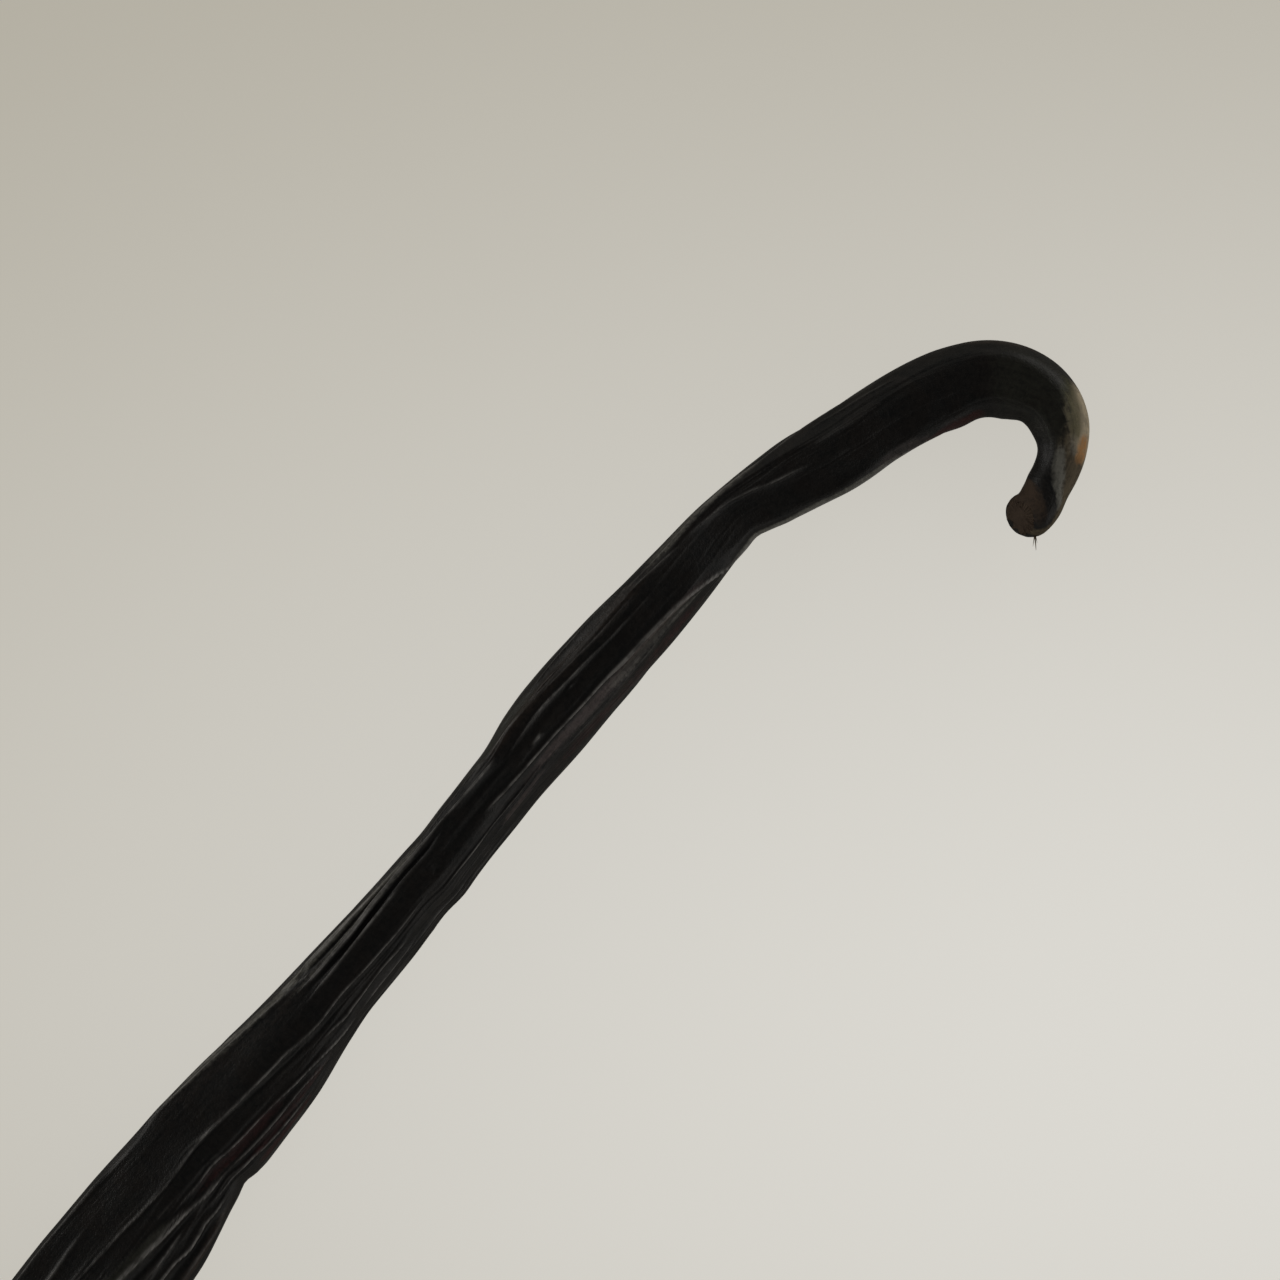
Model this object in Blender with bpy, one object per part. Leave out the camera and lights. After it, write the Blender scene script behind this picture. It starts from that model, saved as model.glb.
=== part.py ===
"""A cured vanilla pod, lying on its flatter side.

The pod is one leathery solid: a cut, hooked stem end, a slim neck with a kink, a creased
middle that leans over, a broad flat belly and a blunt blossom end. It is lofted between
unlike sections along a curved spine and rests on small flats under its belly and shoulder.

Run it with: blender --background --python part.py
Units are metres in the scene, and the driving dimensions below are in millimetres and degrees.
"""

import math

import bmesh
import bpy
import numpy as np

MM = 0.001

# The spine, seen from above, from the stem's cut end: name, length, turn to the left.
STEM_HEADING = -31.0
BENDS = (
    ("stem", 6.2, 56.0),
    ("crook", 12.2, 123.0),
    ("shoulder", 6.3, 12.0),
    ("neck", 9.3, -1.0),
    ("kink", 7.6, 18.0),
    ("saddle", 15.0, 0.5),
    ("waist", 12.0, 2.0),
    ("middle", 15.0, -0.5),
    ("flare", 14.0, -0.5),
    ("belly", 14.0, 2.5),
    ("broad", 20.0, 0.0),
    ("tail", 34.0, -8.0),
)
BEND_BLEND = 3.0

# Sections across the spine: distance from the stem's end, reach from the spine to the outer edge
# and to the inner edge, thickness, and lean, which is how much higher the outer edge stands.
SECTIONS = (
    (0.0, 0.9, 1.1, 2.2, 0.0),
    (0.4, 1.4, 1.45, 3.0, 0.0),
    (1.0, 1.9, 1.65, 3.4, 0.0),
    (2.4, 1.8, 1.8, 3.4, 0.0),
    (4.4, 1.45, 1.95, 3.4, 0.0),
    (7.4, 2.0, 1.8, 3.6, -0.1),
    (9.4, 2.55, 2.0, 4.1, -0.2),
    (13.0, 2.75, 2.95, 4.6, -0.2),
    (18.0, 2.75, 3.2, 4.8, 0.0),
    (22.6, 2.85, 3.2, 4.9, 0.2),
    (26.0, 2.85, 3.1, 5.0, 0.5),
    (30.0, 2.7, 3.3, 5.0, 0.7),
    (33.0, 2.6, 3.25, 4.9, 1.1),
    (36.0, 2.35, 2.85, 4.8, 1.5),
    (39.2, 2.3, 2.3, 4.8, 1.7),
    (46.0, 2.75, 2.7, 5.1, 2.1),
    (51.0, 3.05, 2.95, 5.2, 2.2),
    (60.0, 3.3, 2.9, 5.2, 2.2),
    (66.6, 2.65, 2.75, 5.2, 2.2),
    (75.0, 2.45, 2.95, 5.2, 2.0),
    (82.0, 2.8, 2.95, 5.1, 1.8),
    (90.0, 3.35, 3.3, 4.9, 1.4),
    (95.0, 3.85, 4.05, 4.8, 1.1),
    (102.6, 4.6, 4.4, 4.7, 0.8),
    (106.0, 4.8, 4.6, 4.7, 0.7),
    (112.0, 5.25, 5.65, 4.7, 0.4),
    (118.0, 5.5, 5.85, 4.8, 0.2),
    (126.0, 5.55, 5.7, 4.8, 0.0),
    (140.0, 4.95, 4.95, 4.7, -0.4),
    (152.0, 3.75, 3.75, 4.2, -0.4),
    (160.0, 2.6, 2.6, 3.4, -0.2),
    (165.2, 1.6, 1.6, 2.5, 0.0),
)

# How far the underside stands off the table. Below zero it is trimmed to a flat that rests.
CLEARANCES = (
    (0.0, 1.5),
    (8.0, 0.9),
    (15.0, 0.1),
    (19.0, -0.25),
    (24.0, -0.25),
    (30.0, 0.2),
    (45.0, 0.7),
    (70.0, 0.6),
    (90.0, 0.1),
    (100.0, -0.28),
    (135.0, -0.28),
    (146.0, 0.1),
    (165.2, 0.9),
)

# Folds in the skin: height, reach to each side, and the path as pairs of distance from the
# stem's end and angle round the pod. The angle is 0 at the outer edge, 90 on top, 180 at the
# inner edge and 270 underneath. A fold rises from nothing at each end of its path.
FOLDS = (
    ("outer rim", 0.16, 0.7, ((26, 34), (34, 30), (41, 34), (47, 42), (54, 44))),
    ("cross fold", 0.26, 0.8, ((30, 92), (35, 86), (39.5, 68), (44, 50), (50, 44))),
    ("inner lip", 0.32, 0.9, ((36, 156), (41, 152), (44, 138), (48, 118), (58, 109), (72, 92))),
    ("middle fold", 0.24, 0.8, ((46, 70), (53, 72), (60, 66), (66, 60))),
    ("middle furrow", -0.28, 0.8, ((48, 88), (56, 84), (64, 78), (74, 60), (86, 58))),
    ("rim fold", 0.28, 0.8, ((63, 52), (68, 50), (75, 38), (81, 42), (89, 50))),
    ("belly rim", 0.22, 0.9, ((88, 36), (94, 28), (101, 24), (110, 26), (130, 30), (150, 36))),
    ("belly crease", 0.32, 0.9, ((77, 107), (87, 104), (94, 93), (101, 85), (122, 72), (145, 70))),
    ("fan fold", 0.34, 0.9, ((80, 132), (87, 142), (92, 137), (97, 122), (103, 113), (113, 100))),
    ("second fan fold", 0.26, 0.9, ((91, 152), (98, 138), (104, 127), (112, 121), (124, 117))),
    ("lobe fold", 0.36, 1.0, ((103, 132), (108, 116), (112, 106), (120, 96), (136, 92))),
    ("edge fold", 0.28, 1.0, ((105, 150), (110, 140), (118, 132), (148, 124))),
    ("outer fold", 0.28, 1.1, ((112, 48), (126, 54), (152, 62))),
    ("under fold one", 0.30, 1.2, ((26, 242), (48, 232), (72, 222), (98, 218), (130, 214))),
    ("under fold two", 0.30, 1.2, ((40, 304), (66, 312), (96, 322), (128, 326), (150, 318))),
    ("under furrow", -0.34, 1.2, ((34, 272), (60, 268), (90, 262))),
)
FOLD_FADE = 5.0

# The step on the inner edge where the upper flap of skin ends and the lower lobe goes on.
NOTCH_AT = 104.0
NOTCH_ANGLE = 178.0
NOTCH_DEPTH = 0.35
NOTCH_LENGTH = 1.1
NOTCH_SPAN = 34.0

# The two ends. The stem is cut on a slant, so that its cut face looks a little upwards.
STEM_SLANT = 0.6
STEM_SLANT_LENGTH = 4.5
STEM_FACE_SINK = 0.15
TIP_ROUNDING = 2.6
TIP_FACE_BULGE = 0.2

# The rings of the loft: close together where the cut end rounds off, then evenly along the pod.
STEM_RINGS = (0.0, 0.25, 0.6, 1.1, 1.8)
BODY_START = 2.8
BODY_RINGS = 115
TIP_RINGS = 8
TIP_TURN = 78.0
SIDES = 36
SPINE_SAMPLES = 3304
SHARP_ANGLE = 50.0

SKIN_COLOUR = (0.012, 0.009, 0.007, 1.0)
SKIN_ROUGHNESS = 0.42

CUTTER_MARGIN = 20.0
CUTTER_DEPTH = 10.0

POD_LENGTH = sum(length for _, length, _ in BENDS)


def clear_scene():
    for obj in list(bpy.data.objects):
        bpy.data.objects.remove(obj, do_unlink=True)


def new_collection(name, hidden=False):
    collection = bpy.data.collections.new(name)
    collection.hide_render = hidden
    bpy.context.scene.collection.children.link(collection)
    return collection


def unit(vector):
    return vector / np.linalg.norm(vector)


def along_keys(distance, keys):
    """A smooth value along the pod through (distance, value) keys, never past its neighbours."""
    places, values = np.array(keys, float).T
    gaps = np.diff(values) / np.diff(places)
    onward = gaps[:-1] * gaps[1:] > 0
    paired = np.where(onward, gaps[:-1] + gaps[1:], 1.0)
    inner = np.where(onward, 2 * gaps[:-1] * gaps[1:] / paired, 0.0)
    slopes = np.concatenate([gaps[:1], inner, gaps[-1:]])
    span = np.clip(np.searchsorted(places, distance, side="right") - 1, 0, len(places) - 2)
    width = places[span + 1] - places[span]
    t = np.clip((distance - places[span]) / width, 0.0, 1.0)
    rise = 3 * t**2 - 2 * t**3
    leaving = (t**3 - 2 * t**2 + t) * width * slopes[span]
    arriving = (t**3 - t**2) * width * slopes[span + 1]
    return values[span] * (1 - rise) + values[span + 1] * rise + leaving + arriving


def spine():
    """Distances along the pod, with the spine's points seen from above and its headings."""
    distance = np.linspace(0.0, POD_LENGTH, SPINE_SAMPLES)
    ends = np.cumsum([0.0] + [length for _, length, _ in BENDS])
    turned = np.cumsum([STEM_HEADING] + [turn for _, _, turn in BENDS])
    step = distance[1]
    window = np.ones(int(BEND_BLEND / step) // 2 * 2 + 1)
    padded = np.linspace(-BEND_BLEND, POD_LENGTH + BEND_BLEND, SPINE_SAMPLES)
    bends = np.interp(padded, ends, turned)
    eased = np.convolve(bends, window / window.size, mode="same")
    heading = np.radians(np.interp(distance, padded, eased))
    track = np.stack([np.cos(heading), np.sin(heading)], axis=1) * step
    points = np.concatenate([np.zeros((1, 2)), np.cumsum((track[1:] + track[:-1]) / 2, axis=0)])
    return distance, points, heading


def fold_rise(distance, angles, girth):
    """How far the folds push the skin out, for each angle of the section at this distance."""
    rise = np.zeros_like(angles)
    for _, height, reach, path in FOLDS:
        start, end = path[0][0], path[-1][0]
        if not start < distance < end:
            continue
        fade = min(1.0, (distance - start) / FOLD_FADE, (end - distance) / FOLD_FADE)
        middle = math.radians(along_keys(np.array([distance]), path)[0])
        apart = (angles - middle + math.pi) % (2 * math.pi) - math.pi
        away = np.abs(apart) * girth / (2 * math.pi) / reach
        rise += height * fade * fade * (3 - 2 * fade) * np.exp(-(away**1.5))
    return rise


def notch_dip(distance, angles):
    """The dent where the flap of skin ends on the inner edge."""
    past = (distance - NOTCH_AT) / NOTCH_LENGTH
    apart = (np.degrees(angles) - NOTCH_ANGLE) / NOTCH_SPAN
    return -NOTCH_DEPTH * math.exp(-(past**2)) * np.exp(-(apart**2))


def section(distance, angles):
    """A section's points as (outwards, up) from the spine, with its underside at height zero."""
    outer, inner, thickness, lean = (
        along_keys(np.array([distance]), [(row[0], row[column]) for row in SECTIONS])[0]
        for column in (1, 2, 3, 4)
    )
    across, aside, over = (outer + inner) / 2, (outer - inner) / 2, thickness / 2
    tip = POD_LENGTH - distance
    if tip < TIP_ROUNDING:
        closing = math.sqrt(max(0.0, 1.0 - (1.0 - tip / TIP_ROUNDING) ** 2))
        across, over = across * closing, over * closing
    outwards = aside + across * np.cos(angles)
    upwards = over * np.sin(angles) + lean / 2 * np.cos(angles)
    normal = np.stack([over * np.cos(angles) - lean / 2 * np.sin(angles), across * np.sin(angles)])
    normal /= np.linalg.norm(normal, axis=0)
    girth = math.pi * (3 * (across + over) - math.sqrt((3 * across + over) * (across + 3 * over)))
    rise = fold_rise(distance, angles, girth) + notch_dip(distance, angles)
    outwards = outwards + normal[0] * rise
    upwards = upwards + normal[1] * rise
    return outwards, upwards - upwards.min()


def ring_distances():
    """Where the rings stand: evenly along the pod, and closer together where an end rounds off."""
    body_end = POD_LENGTH - TIP_ROUNDING
    body = np.linspace(BODY_START, body_end, BODY_RINGS)
    turn = np.linspace(0.0, math.radians(TIP_TURN), TIP_RINGS + 1)[1:]
    return np.concatenate([STEM_RINGS, body, body_end + TIP_ROUNDING * np.sin(turn)])


def pod_rings():
    """Each ring of the loft as an array of its points, in millimetres."""
    sampled, track, heading = spine()
    angles = np.linspace(0.0, 2 * math.pi, SIDES, endpoint=False)
    rings = []
    for distance in ring_distances():
        centre = np.array([np.interp(distance, sampled, track[:, axis]) for axis in (0, 1)])
        facing = np.interp(distance, sampled, heading)
        forward = np.array([math.cos(facing), math.sin(facing)])
        outward = np.array([math.sin(facing), -math.cos(facing)])
        outwards, upwards = section(distance, angles)
        slant = STEM_SLANT * max(0.0, 1.0 - distance / STEM_SLANT_LENGTH)
        lag = slant * upwards
        plan = centre + outwards[:, None] * outward + lag[:, None] * forward
        height = upwards + along_keys(np.array([distance]), CLEARANCES)[0]
        rings.append(np.column_stack([plan, height]))
    return rings


def centred(rings):
    """The rings moved in plan, so that the pod's box is centred over the origin."""
    points = np.concatenate(rings)
    middle = (points.min(axis=0) + points.max(axis=0)) / 2
    middle[2] = 0.0
    return [ring - middle for ring in rings]


def loft(name, rings, material, collection):
    """A closed mesh object through the rings, with a point in the middle of each end."""
    mesh = bmesh.new()
    loops = [[mesh.verts.new(point * MM) for point in ring] for ring in rings]
    for near, far in zip(loops, loops[1:]):
        for side in range(SIDES):
            after = (side + 1) % SIDES
            mesh.faces.new((near[side], near[after], far[after], far[side]))
    middles = [ring.mean(axis=0) for ring in rings]
    stem_hub = middles[0] + STEM_FACE_SINK * unit(middles[1] - middles[0])
    tip_hub = middles[-1] + TIP_FACE_BULGE * unit(middles[-1] - middles[-2])
    for loop, middle in ((loops[0], stem_hub), (loops[-1], tip_hub)):
        hub = mesh.verts.new(middle * MM)
        for side in range(SIDES):
            mesh.faces.new((loop[side], loop[(side + 1) % SIDES], hub))
    bmesh.ops.recalc_face_normals(mesh, faces=mesh.faces)
    data = bpy.data.meshes.new(name)
    mesh.to_mesh(data)
    mesh.free()
    data.shade_smooth()
    data.set_sharp_from_angle(angle=math.radians(SHARP_ANGLE))
    data.materials.append(material)
    obj = bpy.data.objects.new(name, data)
    collection.objects.link(obj)
    return obj


def trim_to_rest(obj, rings, collection):
    """Cuts away what lies below the table, which leaves the small flats that the pod rests on."""
    points = np.concatenate(rings)
    size = points.max(axis=0) - points.min(axis=0) + CUTTER_MARGIN
    data = bpy.data.meshes.new("rest_cutter")
    mesh = bmesh.new()
    bmesh.ops.create_cube(mesh, size=1.0)
    bmesh.ops.scale(mesh, verts=mesh.verts, vec=(size[0] * MM, size[1] * MM, CUTTER_DEPTH * MM))
    mesh.to_mesh(data)
    mesh.free()
    cutter = bpy.data.objects.new("rest_cutter", data)
    cutter.location.z = -CUTTER_DEPTH / 2 * MM
    cutter.hide_render = True
    cutter.display_type = "WIRE"
    collection.objects.link(cutter)
    cut = obj.modifiers.new("rest", "BOOLEAN")
    cut.operation = "DIFFERENCE"
    cut.solver = "EXACT"
    cut.object = cutter


def skin_material():
    material = bpy.data.materials.new("cured_skin")
    material.use_nodes = True
    shader = material.node_tree.nodes["Principled BSDF"]
    shader.inputs["Base Color"].default_value = SKIN_COLOUR
    shader.inputs["Roughness"].default_value = SKIN_ROUGHNESS
    shader.inputs["Metallic"].default_value = 0.0
    material.diffuse_color = SKIN_COLOUR
    return material


def main():
    clear_scene()
    parts = new_collection("vanilla_pod")
    cutters = new_collection("cutters", hidden=True)
    rings = centred(pod_rings())
    pod = loft("pod", rings, skin_material(), parts)
    trim_to_rest(pod, rings, cutters)


main()
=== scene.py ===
"""The looks of a cured vanilla pod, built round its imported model.

The pod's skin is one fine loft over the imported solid's place. Named folds, flats and dents give
it its creases, and seeded wrinkles and pores fill in the rest. The cut stem end, its torn
fibres and the withered blossom end are pieces of their own. Lengths are in millimetres until a
mesh is made, angles are in degrees round the pod: 0 at its outer edge, 90 on top, 180 at its
inner edge and 270 underneath.
"""

import logging
import math
from dataclasses import dataclass, field
from enum import Enum

import bpy
import numpy as np
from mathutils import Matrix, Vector


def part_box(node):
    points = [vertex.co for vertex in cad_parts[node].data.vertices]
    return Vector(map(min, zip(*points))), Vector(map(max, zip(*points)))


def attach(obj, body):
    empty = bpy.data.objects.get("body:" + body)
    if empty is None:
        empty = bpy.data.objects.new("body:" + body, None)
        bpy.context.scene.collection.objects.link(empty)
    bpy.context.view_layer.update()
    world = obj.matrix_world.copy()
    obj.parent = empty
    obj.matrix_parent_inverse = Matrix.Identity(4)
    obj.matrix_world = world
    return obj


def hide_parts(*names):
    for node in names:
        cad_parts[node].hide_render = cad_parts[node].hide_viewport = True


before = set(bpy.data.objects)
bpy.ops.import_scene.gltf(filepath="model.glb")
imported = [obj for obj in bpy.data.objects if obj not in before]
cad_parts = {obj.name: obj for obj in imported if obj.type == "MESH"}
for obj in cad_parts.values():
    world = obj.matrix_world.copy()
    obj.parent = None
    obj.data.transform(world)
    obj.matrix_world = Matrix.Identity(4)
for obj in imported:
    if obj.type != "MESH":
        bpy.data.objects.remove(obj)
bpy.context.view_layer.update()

LOG = logging.getLogger("vanilla_pod")

MM = 0.001
NODE = "pod"
BODY = "root"

Array = np.ndarray
Colour = tuple[float, float, float]
Range = tuple[float, float]
Keys = tuple[tuple[float, ...], ...]
Faces = list[tuple[int, ...]]
Mesh = tuple[Array, Faces, Array]
Node = bpy.types.Node
Socket = bpy.types.NodeSocket
Material = bpy.types.Material
Piece = bpy.types.Object


# ---- Small tools ----


def paint(*display: int) -> Colour:
    """Turns a colour from display values into linear light.

    Args:
        *display: The red, green and blue values, 0 to 255.

    Returns:
        The colour in linear light, 0 to 1.
    """
    shares = (value / 255.0 for value in display)
    return tuple(s / 12.92 if s <= 0.04045 else ((s + 0.055) / 1.055) ** 2.4 for s in shares)


def smooth_keys(distance: Array, keys: Keys, column: int = 1) -> Array:
    """Reads a smooth value through keys, never past its neighbours.

    Args:
        distance: Where to read, in millimetres from the stem's end.
        keys: Rows that start with a distance.
        column: Which value of each row to read.

    Returns:
        The value at each distance.
    """
    places = np.array([row[0] for row in keys], float)
    values = np.array([row[column] for row in keys], float)
    gaps = np.diff(values) / np.diff(places)
    onward = gaps[:-1] * gaps[1:] > 0
    paired = np.where(onward, gaps[:-1] + gaps[1:], 1.0)
    inner = np.where(onward, 2 * gaps[:-1] * gaps[1:] / paired, 0.0)
    slopes = np.concatenate([gaps[:1], inner, gaps[-1:]])
    span = np.clip(np.searchsorted(places, distance, side="right") - 1, 0, len(places) - 2)
    width = places[span + 1] - places[span]
    t = np.clip((distance - places[span]) / width, 0.0, 1.0)
    rise = 3 * t**2 - 2 * t**3
    leaving = (t**3 - 2 * t**2 + t) * width * slopes[span]
    arriving = (t**3 - t**2) * width * slopes[span + 1]
    return values[span] * (1 - rise) + values[span + 1] * rise + leaving + arriving


def ease(share: Array | float) -> Array:
    """Eases a share from 0 to 1 with no corner at either end."""
    held = np.clip(share, 0.0, 1.0)
    return held * held * (3 - 2 * held)


def turn_apart(angles: Array, middle: Array | float) -> Array:
    """Gives the signed angle, in degrees, from a middle to each angle round the pod."""
    return (angles - middle + 180.0) % 360.0 - 180.0


def blur_round(values: Array, angles: Array, spread: Array) -> Array:
    """Blurs rows of values that close on themselves.

    Args:
        values: One row for each ring, one column for each angle.
        angles: The angles of the columns, in degrees.
        spread: Each row's blur, as a share of the way round.

    Returns:
        The blurred values.
    """
    steps = 720
    even = np.arange(steps) * 360.0 / steps + angles[0]
    looped = np.concatenate([angles, [angles[0] + 360.0]])
    waves = np.arange(steps // 2 + 1)
    blurred = np.empty_like(values)
    for row, (value, width) in enumerate(zip(values, spread)):
        spectrum = np.fft.rfft(np.interp(even, looped, np.append(value, value[0])))
        soft = np.fft.irfft(spectrum * np.exp(-2.0 * (math.pi * waves * width) ** 2), n=steps)
        blurred[row] = np.interp(angles, np.append(even, even[0] + 360.0), np.append(soft, soft[0]))
    return blurred


def slow_noise(rng: np.random.Generator, distance: Array, length: float) -> Array:
    """Makes a slow, even wander along the pod.

    Args:
        rng: The source of the random draws.
        distance: Where to read it, in millimetres.
        length: How long its shortest swell is, in millimetres.

    Returns:
        Values of about -1 to 1.
    """
    swells = length * np.array([1.0, 1.7, 2.9])
    weights = np.array([0.45, 0.35, 0.3])
    phases = rng.uniform(0.0, 2 * math.pi, swells.size)
    return np.sin(2 * math.pi * distance[:, None] / swells + phases) @ weights


# ---- The marks on the pod's skin ----


class FoldShape(Enum):
    """How a fold's cross-section runs off from its crest."""

    RIDGE = "a crest with even sides"
    FLAP = "a lip that drops off on its inner side"
    LAP = "a lip that drops off on its outer side"
    FURROW = "a rounded groove"


class Tint(Enum):
    """The skin's tints, painted sheen and highlight among them, as the names of the mesh's own values."""

    CUT_BROWN = "cut_brown"
    DRAB = "drab"
    HUSK = "husk"
    RUST = "rust"
    # Pale grey: a grey band behind the stem's cut, elsewhere painted highlight and painted reflection.
    ASH = "ash"
    # Painted sheen: olive-grey where the skin catches the light.
    OLIVE = "olive"
    MOSS = "moss"
    UMBER = "umber"
    MAROON = "maroon"
    # Painted sheen: the lit inner flank's mauve-grey glow.
    MAUVE = "mauve"


@dataclass
class Grid:
    """The rings and angles that the skin's points lie on, over the plain sections.

    Attributes:
        distance: Each ring's distance from the stem's end, in millimetres.
        angles: The angles round the pod, in degrees.
        sizes: Each ring's half width, shift outwards, half thickness and half lean.
    """

    distance: Array
    angles: Array
    sizes: tuple[Array, ...]

    def __post_init__(self) -> None:
        """Finds the plain sections, which way they face, and how much skin a degree covers."""
        turn = np.radians(self.angles)[None, :]
        across, aside, over, lean = (size[:, None] for size in self.sizes)
        cos, sin = np.cos(turn), np.sin(turn)
        self.section = np.stack([aside + across * cos, over * sin + lean * cos], axis=2)
        slope = np.stack([-across * sin, over * cos - lean * sin], axis=2)
        speed = np.linalg.norm(slope, axis=2)
        self.spread = speed * math.pi / 180
        sideways = np.stack([slope[:, :, 1], -slope[:, :, 0]], axis=2)
        self.normal = sideways / np.maximum(speed, 1e-6)[:, :, None]

    def level(self) -> Array:
        """Gives a rise of nothing for each point."""
        return np.zeros((self.distance.size, self.angles.size))

    def away(self, rows: Array, middle: Array | float) -> Array:
        """Gives how far the points of some rings lie from a path, in millimetres round the pod."""
        return turn_apart(self.angles, np.reshape(middle, (-1, 1))) * self.spread[rows]


@dataclass(frozen=True)
class Fold:
    """A crease along the skin.

    Attributes:
        name: What the crease is.
        shape: How its cross-section runs off.
        height: How far it stands out, or goes in, in millimetres.
        reach: How far it runs off to each side, in millimetres.
        path: Rows of distance from the stem's end and angle round the pod.
    """

    name: str
    shape: FoldShape
    height: float
    reach: float
    path: Keys

    def rise(self, away: Array) -> Array:
        """Gives the fold's rise at each distance from its crest.

        Args:
            away: The distance from the crest in millimetres, positive towards the inner edge.

        Returns:
            The rise in millimetres.
        """
        if self.shape is FoldShape.FURROW:
            return -self.height * np.exp(-((away / self.reach) ** 2))
        steep, slow, blunt = 0.45, 1.7, 0.3
        scale = np.full_like(away, self.reach)
        if self.shape is FoldShape.FLAP:
            scale = np.where(away > 0, self.reach * steep, self.reach * slow)
        elif self.shape is FoldShape.LAP:
            scale = np.where(away < 0, self.reach * steep, self.reach * slow)
        return self.height * np.exp(blunt - np.sqrt((away / scale) ** 2 + blunt**2))


@dataclass(frozen=True)
class Flat:
    """A stretch where the skin is pressed flat.

    Attributes:
        name: What the flat is.
        path: Rows of distance, the angle that the flat faces, and how deep it cuts.
    """

    name: str
    path: Keys


@dataclass(frozen=True)
class Wrinkles:
    """A crowd of fine wrinkles that run along the skin, each drawn within the ranges.

    Attributes:
        count: How many there are.
        starts: Where they start, in millimetres from the stem's end.
        lengths: How long they are, in millimetres.
        middles: Where they start round the pod, in degrees.
        heights: How far they stand out or go in, in millimetres.
        widths: How wide they are, in millimetres.
        wander: How far each wavers, in degrees, and over what length in millimetres.
        drift: How far each strays over its length, in degrees.
        course: Rows of distance, and how far all of them lean over there, in degrees.
    """

    count: int
    starts: Range
    lengths: Range
    middles: Range
    heights: Range
    widths: Range
    wander: Range
    drift: float = 0.0
    course: Keys = ((0.0, 0.0), (1.0, 0.0))

    def rise(self, grid: Grid, seed: int) -> Array:
        """Adds up the wrinkles.

        Args:
            grid: The rings and angles.
            seed: The seed of the random draws.

        Returns:
            The rise of each point, in millimetres.
        """
        rng = np.random.default_rng(seed)
        lean = smooth_keys(grid.distance, self.course)
        rise = grid.level()
        for _ in range(self.count):
            start, length = rng.uniform(*self.starts), rng.uniform(*self.lengths)
            middle = rng.uniform(*self.middles)
            drift = rng.normal(0.0, self.drift) if self.drift else 0.0
            height = rng.uniform(*self.heights) * rng.choice((1.0, 1.0, -1.0))
            width = rng.uniform(*self.widths)
            wander = self.wander[0] * slow_noise(rng, grid.distance, self.wander[1])
            rows = (grid.distance > start) & (grid.distance < start + length)
            share = (grid.distance[rows] - start) / length
            away = grid.away(rows, middle + drift * share + lean[rows] + wander[rows])
            fade = ease(3 * share) * ease(3 * (1 - share))
            rise[rows] += height * fade[:, None] * np.exp(-((np.abs(away) / width) ** 1.5))
        return rise


@dataclass(frozen=True)
class Tone:
    """A stretch of skin with a tint; some tints are the skin's own colour, the rest painted sheen and
    highlight.

    Attributes:
        tint: The tint that the stretch takes.
        path: Rows of distance, middle angle, and half the span in degrees.
        strength: How much of the tint shows, 0 to 1.
    """

    tint: Tint
    path: Keys
    strength: float = 1.0

    def share(self, distance: Array, angles: Array) -> tuple[Array, Array]:
        """Works out how much of the tint each point takes.

        Args:
            distance: Each ring's distance from the stem's end.
            angles: The angles round the pod, in degrees.

        Returns:
            Which rings the stretch covers, and the share at each of their points, 0 to 1.
        """
        start, end = self.path[0][0], self.path[-1][0]
        steep_ends, steep_sides = 4, 1.5
        rows = (distance >= start) & (distance <= end)
        here = distance[rows]
        middle, half = (smooth_keys(here, self.path, column)[:, None] for column in (1, 2))
        inside = 1 - np.abs(turn_apart(angles[None, :], middle)) / half
        fade = ease(steep_ends * (end - here) / (end - start))
        if start >= 0:
            fade = ease(steep_ends * (here - start) / (end - start)) * fade
        return rows, self.strength * fade[:, None] * np.clip(steep_sides * inside, 0.0, 1.0)


TintTable = tuple[tuple[Tint, Colour, float], ...]
RIDGE, FLAP, LAP, FURROW = FoldShape

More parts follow.
